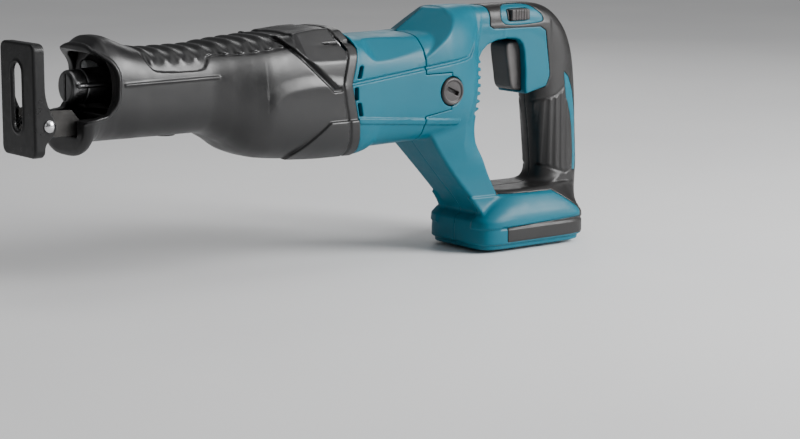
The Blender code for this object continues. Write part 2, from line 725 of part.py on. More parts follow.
def make_motor():
    """The armature turns as one body. The can and its magnets stay with the housing."""
    centre = (0, 0, MOTOR_Z)
    axis = empty("motor_axis", (GEAR_X, 0, MOTOR_Z), saw)
    shaft = [
        (222.6, 0), (222.6, 3.0), (231.7, 3.0), (231.7, 4.0), (351.0, 4.0), (351.0, 3.0), (357.0, 3.0),
        (357.0, 0),
    ]
    turned("armature_shaft", shaft, STEEL, "X", centre, axis, 20)
    stack = [(270, 4.3), (270, 20.5), (318, 20.5), (318, 4.3)]
    core = turned("armature_core", stack, MAGNET, "X", centre, axis, 27)
    for k in range(9):
        groove = block("core_groove", (265, -1.1, MOTOR_Z + 13.5), (325, 1.1, MOTOR_Z + 22))
        spin_copy(groove, k / 9)
        cut(core, groove)
    commutator = [(322, 4.3), (322, 11.5), (325, 13.0), (343, 13.0), (343, 4.3)]
    turned("commutator", commutator, COPPER, "X", centre, axis, 24)
    make_fan(axis, centre)
    turned("stator_can", [(262, 26.0), (262, 28.0), (326, 28.0), (326, 26.0)], ALLOY, "X", centre, steps=28)
    for name, side in (("magnet_left", -1), ("magnet_right", 1)):
        outline = arc((0, 0), 25.7, -58, 58) + arc((0, 0), 21.6, 58, -58)
        slab(name, [(side * a, b) for a, b in outline], 266, 322, MAGNET, "X", centre)
    front = [(PLATE_X + 1.3, 4.4), (PLATE_X + 1.3, 10.9), (HOUSING_END + 0.5, 10.9), (HOUSING_END + 0.5, 4.4)]
    turned("motor_front_bearing", front, STEEL, "X", centre, steps=24)
    rear = [(351.4, 3.4), (351.4, 7.9), (356.4, 7.9), (356.4, 3.4)]
    turned("motor_rear_bearing", rear, STEEL, "X", centre, steps=20)


def spin_copy(made, share):
    """Turns a helper about the motor's axis by a share of a turn."""
    angle = 2 * math.pi * share
    arm = made.location - Vector((0, 0, MOTOR_Z * MM))
    arm.rotate(Euler((angle, 0, 0)))
    made.location = arm + Vector((0, 0, MOTOR_Z * MM))
    made.rotation_euler = (angle, 0, 0)


def make_fan(axis, centre):
    """A backed radial fan that blows out of the slots behind the boot."""
    disc = [(257.5, 4.3), (257.5, 24.0), (259.2, 24.0), (259.2, 8.0), (261.4, 8.0), (261.4, 4.3)]
    fan = turned("fan", disc, DARK_PLASTIC, "X", centre, axis, 24)
    for k in range(7):
        vane = block("vane", (250.5, -0.7, MOTOR_Z + 9.5), (258.4, 0.7, MOTOR_Z + 23.2))
        spin_copy(vane, k / 7)
        join(fan, vane)


def make_bearing_plate():
    """Closes the back of the gear housing and seats the motor's front bearing."""
    inset = BOOT_WALL + HOUSING_WALL + 2 * GAP
    stations = [(x, 39.3, 27.2, -61.2, 3.4) for x in (PLATE_X, HOUSING_END - GAP)]
    plate = body_along_x("bearing_plate", stations, ALLOY, inset)
    centre = (0, 0, MOTOR_Z)
    cut(
        plate,
        bar("bearing_seat", 11.2, PLATE_X + 1.0, 250, place=centre),
        bar("shaft_hole", 6.0, 225, 250, place=centre),
    )


def make_motor_housing():
    """The teal barrel round the motor, with a thinner sleeve that goes into the handle halves."""
    centre = (0, 0, MOTOR_Z)
    housing = body_along_x("motor_housing", MOTOR, TEAL)
    join(housing, body_along_x("motor_sleeve", SLEEVE))
    cut(
        housing,
        bar("motor_bore", 28.3, 245, 326.3, place=centre, sides=28),
        bar("brush_chamber", 24.0, 320, 343, place=centre, sides=28),
        bar("shaft_hole", 5.0, 340, 360, place=centre),
        bar("rear_bearing_seat", 8.2, 351.0, 360, place=centre),
        body_along_x("room_over_motor", [(230, 33.0, 16.0, -53.5, 3.0), (300, 32.0, 15.0, -52.5, 3.0)]),
        chevron("before_motor", BOOT_END + GAP, -1),
    )
    for side in (-1, 1):
        low, high = span(side, 20, 60)
        cut(housing, bar("brush_port", 7.5, low, high, axis="Y", place=(BRUSH_X, 0, MOTOR_Z)))
        for z in (4.0, -17.0, -28.0):
            cut(housing, block("vent", (252.0, low, z - 3.5), (254.4, high, z + 3.5)))


def make_brushes():
    for side, hand in ((-1, "left"), (1, "right")):
        low, high = span(side, 14.0, 32.0)
        holder = block(
            f"brush_holder_{hand}",
            (BRUSH_X - 4.6, low, MOTOR_Z - 5.2),
            (BRUSH_X + 4.6, high, MOTOR_Z + 5.2),
            COPPER,
        )
        low, high = span(side, 10.0, 40.0)
        bore = block("holder_bore", (BRUSH_X - 3.6, low, MOTOR_Z - 4.2), (BRUSH_X + 3.6, high, MOTOR_Z + 4.2))
        cut(holder, bore)
        low, high = span(side, 13.4, 23.0)
        block(
            f"carbon_brush_{hand}",
            (BRUSH_X - 3.2, low, MOTOR_Z - 3.8),
            (BRUSH_X + 3.2, high, MOTOR_Z + 3.8),
            CARBON,
        )
        ends = (side * 24.2, side * 31.2)
        wire(f"brush_spring_{hand}", coil(2.6, *ends, 2, "Y"), 0.5, STEEL, (BRUSH_X, 0, MOTOR_Z))
        make_brush_cap(f"brush_cap_{hand}", side)


def make_brush_cap(name, side):
    face = 39.6
    steps_in = [(0, 0), (0, 9.2), (0.9, 10.2), (4.0, 10.2), (4.0, 7.1), (7.0, 7.1), (7.0, 0)]
    profile = [(side * (face - depth), radius) for depth, radius in steps_in]
    cap = turned(name, profile, DARK_PLASTIC, "Y", (BRUSH_X, 0, MOTOR_Z), steps=20)
    low, high = span(side, face - 1.4, face + 2)
    slot = block("driver_slot", (BRUSH_X - 5.5, low, MOTOR_Z - 0.9), (BRUSH_X + 5.5, high, MOTOR_Z + 0.9))
    slot.rotation_euler = (0, math.radians(-25), 0)
    cut(cap, slot)


# ---------------------------------------------------------------- handle halves and grip


def handle_body(name, loop_inset, body_inset, points=SECTION_POINTS):
    """The outside of the handle with its brace and foot, smaller by the insets, as a helper."""
    ends = (-body_inset, -body_inset)
    whole = body_along_x(name, HUMP, inset=body_inset, grow_ends=ends, points=points)
    half = GRIP_HALF_WIDTH - loop_inset
    join(
        whole,
        body_along_path("loop", LOOP, loop_inset),
        slab("trigger_housing", shrunk(TRIGGER_HOUSING, loop_inset), -half, half),
        body_along_z("brace", BRACE, body_inset, points=points),
        body_along_z("foot", FOOT, body_inset, ends, points),
    )
    return settle(whole)


def shrunk(outline, inset):
    """An outline whose points are moved towards its middle by inset in both directions."""
    x_middle = sum(x for x, _ in outline) / len(outline)
    z_middle = sum(z for _, z in outline) / len(outline)
    return [
        (x + math.copysign(inset, x_middle - x), z + math.copysign(inset, z_middle - z)) for x, z in outline
    ]


def make_handle():
    outside = handle_body("handle_outside", 0.0, 0.0)
    core = handle_body("handle_core", GRIP_SKIN + GAP, GRIP_SKIN + GAP)
    grip_inside = handle_body("grip_inside", GRIP_SKIN, GRIP_SKIN)
    cavity = handle_body("handle_cavity", 5.4, 4.4, LOOP_POINTS)
    cut(cavity, block("channel_roof", (360, -40, -150), (480, 40, CHANNEL_ROOF + 3.5)))
    for x, z, _ in SCREWS:
        cut(cavity, bar("boss", 4.6, -45, 45, axis="Y", place=(x, 0, z), sides=10))
    grip_room = [(x - GAP if x < 500 else x, z - GAP if z < -130 else z) for x, z in GRIP_LINE]
    recess = cut(slab("grip_recess", grip_room, -70, 70), core)
    shared = shared_openings()
    rooms = inner_rooms()
    for hand, side in (("left", -1), ("right", 1)):
        half = solid(f"handle_{hand}", outside.data.copy(), TEAL)
        cut(half, recess, cavity, *shared, *rooms, *screw_holes(), other_half(side))
        skin = slab(f"grip_{hand}", GRIP_LINE, -70, 70, GRIP)
        keep(skin, outside)
        cut(skin, grip_inside, *shared, other_half(side))
        if side > 0:
            cut(skin, *screw_head_holes(SCREWS[1:4]))


def other_half(side):
    """Everything across the middle plane, with half of the joint's gap."""
    low, high = span(-side, -GAP / 2, 90)
    return block("other_half", (250, low, -170), (520, high, 70))


def shared_openings():
    """Openings that go through the handle halves and through the grip alike."""
    lock = 9.3
    return [
        block("channel", (380, -RAIL_HALF, -142), (500, RAIL_HALF, CHANNEL_ROOF)),
        block("channel_mouth", (380, -22, -150), (500, 22, -140)),
        block("lock_room", (LOCK_X - lock, -30, LOCK_Z - 4.5), (LOCK_X + lock, 30, LOCK_Z + 4.5)),
    ]


def inner_rooms():
    """Room in the handle halves for the trigger, switch, brush caps and motor housing's sleeve."""
    below_loop = [(380, 10.4), (432, 10.4), (432, -25.4), (424, -27.6), (380, -29)]
    return [
        slab("trigger_mouth", below_loop, -10.8, 10.8),
        block("switch_room", (428, -11.2, -22.6), (456, 11.2, 8.8)),
        bar("brush_window", 10.6, -60, 60, axis="Y", place=(BRUSH_X, 0, MOTOR_Z), sides=28),
        body_along_x("motor_room", SLEEVE, inset=-GAP, grow_ends=(0, 3)),
    ]


def screw_holes():
    """The screws go in from the right."""
    threads = [bar("screw_hole", 1.9, -12, 60, axis="Y", place=(x, 0, z), sides=8) for x, z, _ in SCREWS]
    return [*threads, *screw_head_holes(SCREWS)]


def screw_head_holes(screws):
    return [
        bar("screw_head_hole", 3.7, seat, 60, axis="Y", place=(x, 0, z), sides=12) for x, z, seat in screws
    ]


def make_screws():
    for number, (x, z, seat) in enumerate(SCREWS, start=1):
        seat += GAP
        profile = [(-9.0, 0), (-9.0, 1.5), (seat, 1.5), (seat, 3.3), (seat + 2.6, 3.0), (seat + 2.6, 0)]
        turned(f"handle_screw_{number}", profile, STEEL, "Y", (x, 0, z), steps=12)


# ---------------------------------------------------------------- controls and battery contacts


def make_controls():
    block("switch_body", (432.6, -10.5, -22.0), (453.0, 10.5, 8.0), DARK_PLASTIC, edge=0.8)
    pull = empty("trigger_slide", (410, 0, -8), saw)
    side_view = [
        (424, 9.0), (418, 9.6), (411, 8.8), (408.4, 5.2), (409.6, -4), (411.2, -14), (412.2, -21),
        (414, -25.2), (418, -26.6), (424, -24.4),
    ]
    trigger = slab("trigger", side_view, -10.2, 10.2, DARK_PLASTIC, parent=pull)
    cut(trigger, block("trigger_room", (414.5, -8.2, -22.0), (430, 8.2, 6.5)))
    push = empty("lock_button_slide", (LOCK_X, 0, LOCK_Z), saw)
    low, high = (LOCK_X - 9, -19.6, LOCK_Z - 4.2), (LOCK_X + 9, 14.6, LOCK_Z + 4.2)
    block("lock_button", low, high, DARK_PLASTIC, push, 0.8)


def make_contacts():
    roof = CHANNEL_ROOF - GAP
    block("terminal_block", (386, -16, roof - 8), (414, 16, roof), DARK_PLASTIC, edge=0.8)
    for name, y in (("terminal_plus", -11.0), ("terminal_minus", 11.0)):
        block(name, (414.3, y - 0.6, roof - 7), (430, y + 0.6, roof - 2), COPPER)
    up_handle = [
        (408, -5, -123.5), (422, -5, -119), (442, -3, -111), (458, 0, -103), (468, 0, -92), (470.5, 0, -70),
        (470, 0, -44), (468, 0, -24), (460, 0, -11), (455.2, 0, -8),
    ]
    wire("lead_battery", smooth_route(up_handle, 2), 1.5, RED)
    to_motor = [
        (445, 4, 10.6), (441, 4, 15.5), (430, 4, 18.8), (412, 4, 20.5), (392, 4, 21.5), (376, 5, 22.5),
        (366, 6, 21), (360, 7, 14),
    ]
    wire("lead_motor", smooth_route(to_motor, 2), 1.5, RED)


make_shoe()
make_shoe_latch()
make_boot()
make_gear_housing()
make_collar()
make_rod_guides()
make_plunger()
make_motor()
make_gears()
make_gear_bearings()
make_bearing_plate()
make_motor_housing()
make_brushes()
make_handle()
make_screws()
make_controls()
make_contacts()
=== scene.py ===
"""Looks of the cordless reciprocating saw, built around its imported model.

The shapes are worked out in the tool's own frame in millimetres, as in the model's source: X runs along the
stroke with the front face of the shoe at x = 0, Y is the width with the left side at -Y, and z = 0 is the
stroke axis. Most pieces are fields: a number at each point of a grid, close to the distance to the surface
and negative inside it. Fields blend, cut and emboss each other, and skin() lays a mesh on their zero level.
"""

import math

import bpy
import numpy as np
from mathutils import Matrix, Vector


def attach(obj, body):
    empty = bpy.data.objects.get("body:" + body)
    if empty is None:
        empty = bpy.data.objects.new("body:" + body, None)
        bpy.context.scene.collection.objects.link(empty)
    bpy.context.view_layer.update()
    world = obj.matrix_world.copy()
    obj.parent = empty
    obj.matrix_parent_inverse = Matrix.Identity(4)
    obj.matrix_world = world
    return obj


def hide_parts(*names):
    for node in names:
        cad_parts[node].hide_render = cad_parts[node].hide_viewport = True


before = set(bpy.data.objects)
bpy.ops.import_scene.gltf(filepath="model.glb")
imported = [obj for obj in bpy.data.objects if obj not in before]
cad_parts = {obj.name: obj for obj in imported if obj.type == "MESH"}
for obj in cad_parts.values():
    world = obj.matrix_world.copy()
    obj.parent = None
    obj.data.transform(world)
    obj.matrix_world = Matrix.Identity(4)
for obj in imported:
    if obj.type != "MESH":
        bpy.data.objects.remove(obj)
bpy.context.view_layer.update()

MM = 0.001
HALF_LENGTH = 241.5  # the world's origin, behind the shoe's front face
AXIS_HEIGHT = 146.0  # stroke axis above the floor
COARSE = 1.0

GAP = 0.35
SEAM_X = 310.0
MOTOR_Z = -20.0
BRUSH_X = 334.0
LATCH_X = 112.0
PIVOT = (11.0, -22.0)
LOCK = (415.0, 30.5)
LAMP = (58.0, 15.5, 11.0)
RAIL_HALF = 27.0
BAR_HALF_WIDTH = 18.0
SHOE_HALF_WIDTH = 22.5
BOOT_END = 246.0
CAP_RADIUS, CAP_SEAT_RADIUS = 10.2, 10.9
TRIGGER_HALF_WIDTH, TRIGGER_BACK = 10.2, 423.5
TRIGGER_ROOM_HALF_WIDTH = 10.9
GRIP_PROUD = 0.35
NOSE_RADIUS, SLEEVE_RADIUS, SLEEVE_BORE = 11.4, 12.1, 9.9
LENS_RADIUS, LENS_HOLE_RADIUS = 4.35, 4.7
SCREW_HEAD_RADIUS, SCREW_WELL_RADIUS = 3.3, 3.8

CAMERA_AT = (-0.952, -1.3363, 0.3161)
CAMERA_AZIMUTH, CAMERA_ELEVATION = -37.5, 9.7  # degrees round and above the saw
CAMERA_LENS = 103.5
LIGHT_TARGET = (0, 0, 0.13)

# Outsides as (x, half width, top, bottom, squareness). A squareness of 2 is an ellipse.
BOOT = [
    (32.5, 28.5, 18.0, -43.0, 3.0),
    (35, 31.0, 20.0, -45.2, 3.0),
    (38, 32.5, 22.5, -44.0, 3.0),
    (41.5, 33.0, 25.0, -39.0, 3.0),
    (45, 33.0, 27.6, -37.2, 2.8),
    (50, 33.0, 31.4, -37.0, 2.6),
    (54, 33.0, 33.6, -37.0, 2.6),
    (58, 32.8, 33.6, -37.0, 2.6),
    (66, 32.2, 30.6, -36.9, 2.8),
    (75, 31.8, 26.8, -36.8, 3.0),
    (84, 31.5, 24.9, -36.8, 3.0),
    (94, 31.5, 23.4, -36.9, 3.0),
    (130, 31.5, 23.6, -37.0, 3.0),
    (147, 33.5, 25.4, -44.0, 3.0),
    (163, 36.5, 26.6, -54.0, 3.1),
    (178, 38.6, 27.4, -58.5, 3.2),
    (204, 39.2, 29.0, -61.0, 3.3),
    (226, 39.3, 30.6, -61.8, 3.4),
    (256, 39.2, 30.8, -61.8, 3.5),
]
BARREL = [
    (236, 38.2, 28.6, -62.0, 3.8),
    (248, 38.2, 27.0, -62.4, 3.8),
    (254, 38.0, 23.8, -62.5, 3.8),
    (262, 37.8, 22.6, -61.0, 3.8),
    (270, 37.5, 22.4, -58.0, 3.8),
    (290, 37.5, 22.4, -57.4, 3.8),
    (310, 37.8, 22.8, -57.2, 3.6),
    (330, 38.0, 24.0, -57.0, 3.2),
    (344, 36.4, 26.0, -56.5, 3.0),
    (357, 33.0, 27.0, -56.0, 2.8),
    (366, 27.5, 27.0, -55.0, 2.6),
    (373, 20.0, 26.0, -52.0, 2.4),
]
HUMP = [
    (304, 37.0, 38.8, -56.0, 3.2),
    (330, 38.2, 38.8, -56.8, 3.2),
    (344, 36.4, 38.8, -56.5, 3.0),
    (357, 33.0, 38.6, -56.0, 2.8),
    (366, 27.5, 38.4, -55.0, 2.6),
    (373, 20.0, 37.5, -52.0, 2.4),
]

# The loop of the handle as (x, z, heading in degrees, half thickness, half width, squareness)
LOOP = [
    (352, 25.0, 0, 12.8, 17, 3.0),
    (392, 25.3, 0, 13.2, 17, 3.0),
    (424, 24.8, -4, 13.8, 17, 2.8),
    (440, 20.0, -28, 17.0, 17, 2.6),
    (451.5, 8.0, -58, 18.6, 17, 2.5),
    (455.8, -8.0, -80, 20.4, 17, 2.5),
    (457.3, -30.0, -90, 21.7, 17, 2.5),
    (459.5, -58.0, -90, 20.5, 17, 2.5),
    (461.1, -86.0, -90, 19.9, 17.2, 2.5),
    (460.5, -99.0, -92, 19.6, 17.5, 2.5),
    (459, -111.0, -92, 18.5, 20.0, 2.6),
    (457, -126.0, -90, 14.0, 26.0, 3.0),
]

# The brace as (z, front, back, half width), and the foot as the same with its squareness, listed downward
BRACE = [
    (-40, 314, 370, 30.0),
    (-60, 326.5, 370, 27.5),
    (-76, 339.5, 376, 24.5),
    (-92, 353.5, 384, 23.0),
    (-106, 366, 391.5, 23.5),
    (-118, 374, 399, 26.0),
    (-129, 378, 406, 29.0),
]
FOOT = [
    (-100, 390, 455, 22.0, 3.0),
    (-103, 388, 458, 26.0, 3.2),
    (-108, 383, 462, 31.0, 3.8),
    (-114, 376, 465.5, 35.0, 4.8),
    (-119, 370, 468, 37.0, 5.4),
    (-123, 367, 470, 37.5, 6.0),
    (-134.5, 366, 470, 37.5, 6.0),
    (-146.5, 366, 470, 37.3, 6.0),
]

# Outlines seen from the side, as (x, z)
MOUTH = [(0, 60), (43.5, 60), (43.5, 27), (45, 24), (49, 20.6), (54, 16), (56.8, 10), (57, 2), (55.8, -8),
         (51, -14.5), (43.5, -17.8), (0, -18.4)]
TRIGGER_HOUSING = [(400, 24), (446, 24), (447, 0), (446.8, -18), (443, -25.5), (423, -30.2), (422, -28.0),
                   (422, -25.5), (421.8, -21), (421.8, -12), (420.5, 3), (418.8, 8), (416, 11), (412, 12.6),
                   (400, 13.4)]
TRIGGER_ROOM = [(380, 10.6), (434, 10.6), (434, -25.6), (425, -27.9), (408, -29.2), (380, -29.2)]
GUSSET = [(366, 24), (366, -12), (373.6, -12), (375.2, -5), (377.2, 0.5), (380, 5), (385, 9.2), (393, 12),
          (402, 13), (402, 24)]
TRIGGER = [(430, 9.0), (418, 9.8), (411, 9.0), (408.6, 5.4), (409.6, -4), (411.2, -14), (412.2, -21),
           (414, -25.4), (418, -27.0), (430, -24.2)]


# ---------------------------------------------------------------- grids and fields


class Grid:
    """Points between two corners. Its x, y and z spread over each other, so a flat field stays small."""

    def __init__(self, low, high, step):
        self.step = step * COARSE
        self.low = np.array(low, float) - 2 * self.step
        counts = [int(math.ceil((b + 2 * self.step - a) / self.step)) + 1 for a, b in zip(self.low, high)]
        axes = [(a + self.step * np.arange(n)).astype(np.float32) for a, n in zip(self.low, counts)]
        self.x = axes[0][:, None, None]
        self.y = axes[1][None, :, None]
        self.z = axes[2][None, None, :]
        self.side = np.abs(self.y)
        self.shape = tuple(counts)


def smooth_columns(rows, at):
    """The columns after the first, as smooth curves of the first that pass through every row."""
    rows = np.array(rows, float)
    if rows[0, 0] > rows[-1, 0]:
        rows = rows[::-1]
    keys = rows[:, 0]
    rise = np.diff(rows[:, 1:], axis=0) / np.diff(keys)[:, None]
    slope = np.zeros_like(rows[:, 1:])
    product, total = rise[1:] * rise[:-1], rise[1:] + rise[:-1]
    same_way = product > 0
    slope[1:-1] = np.where(same_way, 2 * product / np.where(same_way, total, 1), 0)
    slope[0], slope[-1] = rise[0], rise[-1]
    at = np.clip(at, keys[0], keys[-1])
    k = np.clip(np.searchsorted(keys, at) - 1, 0, len(keys) - 2)
    width = (keys[k + 1] - keys[k])[..., None]
    t = ((at - keys[k])[..., None]) / width
    before, after = rows[k, 1:], rows[k + 1, 1:]
    value = (
        before * (1 + 2 * t) * (1 - t) ** 2
        + width * slope[k] * t * (1 - t) ** 2
        + after * t * t * (3 - 2 * t)
        + width * slope[k + 1] * t * t * (t - 1)
    )
    return [value[..., column].astype(np.float32) for column in range(value.shape[-1])]


def to_distance(grid, level):
    """Turns a field that is zero on a surface into one close to the distance from it."""
    level = np.broadcast_to(level, grid.shape)
    size = np.sqrt(sum(part * part for part in np.gradient(level, grid.step)))
    return level / np.maximum(size, 0.008)


def section(u, v, squareness):
    """The level of a superellipse of half sizes 1."""
    return (np.abs(u) ** squareness + np.abs(v) ** squareness) ** (1 / squareness) - 1


def body_along_x(grid, stations):
    half, top, bottom, squareness = smooth_columns(stations, grid.x)
    middle, height = (top + bottom) / 2, (top - bottom) / 2
    return to_distance(grid, section(grid.y / half, (grid.z - middle) / height, squareness))


def body_along_z(grid, stations):
    front, back, half, squareness = smooth_columns(stations, grid.z)
    middle, depth = (front + back) / 2, (back - front) / 2
    return to_distance(grid, section((grid.x - middle) / depth, grid.y / half, squareness))


def body_along_path(grid, stations, samples=360):
    """A section swept along a curve in the plane y = 0, with flat ends."""
    rows = np.column_stack([np.linspace(0, 1, len(stations)), np.array(stations, float)])
    x, z, heading, thick, half, squareness = smooth_columns(rows, np.linspace(0, 1, samples))
    angle = np.radians(heading)
    flat_x, flat_z = np.broadcast_arrays(grid.x[:, 0], grid.z[:, 0])
    points = np.stack([flat_x.ravel(), flat_z.ravel()], 1)
    nearest = np.concatenate([
        ((part[:, :1] - x) ** 2 + (part[:, 1:] - z) ** 2).argmin(1) for part in np.array_split(points, 12)
    ])
    dx, dz = points[:, 0] - x[nearest], points[:, 1] - z[nearest]
    sine, cosine = np.sin(angle[nearest]), np.cos(angle[nearest])
    across, along = cosine * dz - sine * dx, np.abs(cosine * dx + sine * dz)
    across, along, thick, half, squareness = (
        column.reshape(flat_x.shape)[:, None, :]
        for column in (across, along, thick[nearest], half[nearest], squareness[nearest])
    )
    swept = to_distance(grid, section(grid.y / half, across / thick, squareness))
    return np.maximum(swept, along - 4)


def curve_through(points, per_span=6, closed=False):
    """Points on a smooth curve through the given ones."""
    points = np.array(points, float)
    ends = [points[-1], *points, points[0], points[1]] if closed else [
        2 * points[0] - points[1], *points, 2 * points[-1] - points[-2]]
    found = []
    for before, a, b, after in zip(ends, ends[1:], ends[2:], ends[3:]):
        square, cube = 2 * before - 5 * a + 4 * b - after, 3 * a - before - 3 * b + after
        for t in np.arange(per_span) / per_span:
            found.append((2 * a + (b - before) * t + square * t**2 + cube * t**3) / 2)
    return np.array(found if closed else [*found, points[-1]])


def near_line(u, v, points, closed=False):
    """Distance in the plane of u and v from a line through points."""
    points = np.array(points, float)
    nearest = np.float32(1e6)
    ends = np.roll(points, -1, axis=0) if closed else points[1:]
    for a, b in zip(points, ends):
        run = b - a
        share = np.clip(((u - a[0]) * run[0] + (v - a[1]) * run[1]) / max(run @ run, 1e-9), 0, 1)
        nearest = np.minimum(nearest, np.hypot(u - a[0] - share * run[0], v - a[1] - share * run[1]))
    return nearest


def outline(u, v, points):
    """Signed distance in the plane of u and v from a closed outline, negative inside."""
    points = np.array(points, float)
    inside = np.zeros(np.broadcast_shapes(u.shape, v.shape), bool)
    for a, b in zip(points, np.roll(points, -1, axis=0)):
        if a[1] == b[1]:
            continue
        crosses = (v >= min(a[1], b[1])) & (v < max(a[1], b[1]))
        inside ^= crosses & (u < a[0] + (v - a[1]) * (b[0] - a[0]) / (b[1] - a[1]))
    return np.where(inside, -1, 1) * near_line(u, v, points, True)


def box_field(u, v, half_u, half_v, radius):
    """Signed distance from a rectangle with round corners."""
    a, b = np.abs(u) - half_u + radius, np.abs(v) - half_v + radius
    return np.hypot(np.maximum(a, 0), np.maximum(b, 0)) + np.minimum(np.maximum(a, b), 0) - radius


def blend(a, b, size):
    """Union with a fillet of about size."""
    mix = np.clip(0.5 + 0.5 * (b - a) / size, 0, 1)
    return b + (a - b) * mix - size * mix * (1 - mix)


def cut(a, b, size):
    """a without b, with a round of about size on the new edge."""
    return -blend(-a, b, size)


def common(a, b, size):
    """Where a and b are both solid, with a round of about size on the new edge."""
    return -blend(-a, -b, size)


def ease(value, near, far):
    """1 at near and before, 0 at far and beyond, smooth between."""
    t = np.clip((far - value) / (far - near), 0, 1)
    return t * t * (3 - 2 * t)


# ---------------------------------------------------------------- from fields to meshes


def sample(field, points):
    """The field between its grid points."""
    base = np.clip(np.floor(points).astype(int), 0, np.array(field.shape) - 2)
    share = points - base
    total = np.zeros(len(points))
    for corner in np.ndindex(2, 2, 2):
        weight = np.prod(np.where(corner, share, 1 - share), axis=1)
        total += weight * field[tuple((base + corner).T)]
    return total


def net(field):
    """Points in grid steps, one in each cell that the zero level crosses, and the faces between them."""
    inside = field < 0
    shape = np.array(field.shape)
    strides = np.array([(shape[1] - 1) * (shape[2] - 1), shape[2] - 1, 1])
    owners, crossings, faces = [], [], []
    for axis in range(3):
        u, v = (axis + 1) % 3, (axis + 2) % 3
        turned = np.moveaxis(inside, axis, 0)
        found = np.argwhere(turned[:-1] != turned[1:])
        low = np.empty_like(found)
        low[:, axis] = found[:, 0]
        low[:, [n for n in range(3) if n != axis]] = found[:, 1:]
        kept = (low[:, u] > 0) & (low[:, v] > 0) & (low[:, u] < shape[u] - 1) & (low[:, v] < shape[v] - 1)
        low = low[kept]
        high = low.copy()
        high[:, axis] += 1
        first, second = field[tuple(low.T)], field[tuple(high.T)]
        crossing = low.astype(float)
        crossing[:, axis] += first / (first - second)
        around = []
        for back_u, back_v in ((0, 0), (1, 0), (1, 1), (0, 1)):
            cell = low.copy()
            cell[:, u] -= back_u
            cell[:, v] -= back_v
            around.append(cell @ strides)
        owners += around
        crossings += [crossing] * 4
        quads = np.stack(around, 1)
        faces.append(np.where((first < 0)[:, None], quads, quads[:, ::-1]))
    cells, index = np.unique(np.concatenate(owners), return_inverse=True)
    crossings = np.concatenate(crossings)
    points = np.stack([np.bincount(index, crossings[:, k]) for k in range(3)], 1)
    points /= np.bincount(index)[:, None]
    return points, np.searchsorted(cells, np.concatenate(faces))


def settle(field, points, rounds=3):
    """Moves points onto the zero level, along the field's slope."""
    for _ in range(rounds):
        slope = np.stack(
            [sample(field, points + step) - sample(field, points - step) for step in 0.5 * np.eye(3)], 1
        )
        size = np.maximum((slope * slope).sum(1), 0.05 * np.median((slope * slope).sum(1)))
        move = -slope * (sample(field, points) / size)[:, None]
        length = np.linalg.norm(move, axis=1, keepdims=True)
        points = points + move * np.minimum(1, 0.4 / np.maximum(length, 1e-6))
    return points


def to_world(points):
    """From the tool's frame in millimetres to the world in metres."""
    return (np.asarray(points, float) + (-HALF_LENGTH, 0, AXIS_HEIGHT)) * MM


def mesh_object(name, points, faces, look):
    """A piece from points in the tool's frame and faces of four."""
    mesh = bpy.data.meshes.new(name)
    mesh.vertices.add(len(points))
    mesh.vertices.foreach_set("co", to_world(points).astype(np.float32).ravel())
    mesh.loops.add(faces.size)
    mesh.loops.foreach_set("vertex_index", faces.ravel().astype(np.int32))
    mesh.polygons.add(len(faces))
    mesh.polygons.foreach_set("loop_start", np.arange(0, faces.size, 4, dtype=np.int32))
    mesh.update(calc_edges=True)
    mesh.validate()
    mesh.shade_smooth()
    mesh.materials.append(look)
    made = bpy.data.objects.new(name, mesh)
    bpy.context.scene.collection.objects.link(made)
    return made


def skin(name, grid, field, look):
    """A mesh on the field's zero level, as a piece."""
    field = np.ascontiguousarray(np.broadcast_to(field, grid.shape))
    points, faces = net(field)
    points = settle(field, points)
    return mesh_object(name, grid.low + points * grid.step, faces, look)


def place(piece, body, slot, *nodes):
    """Hands a piece to its body, and hides the nodes that it stands for. The slot argument is not used."""
    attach(piece, body)
    if nodes:
        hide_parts(*nodes)
    return piece


# ---------------------------------------------------------------- materials


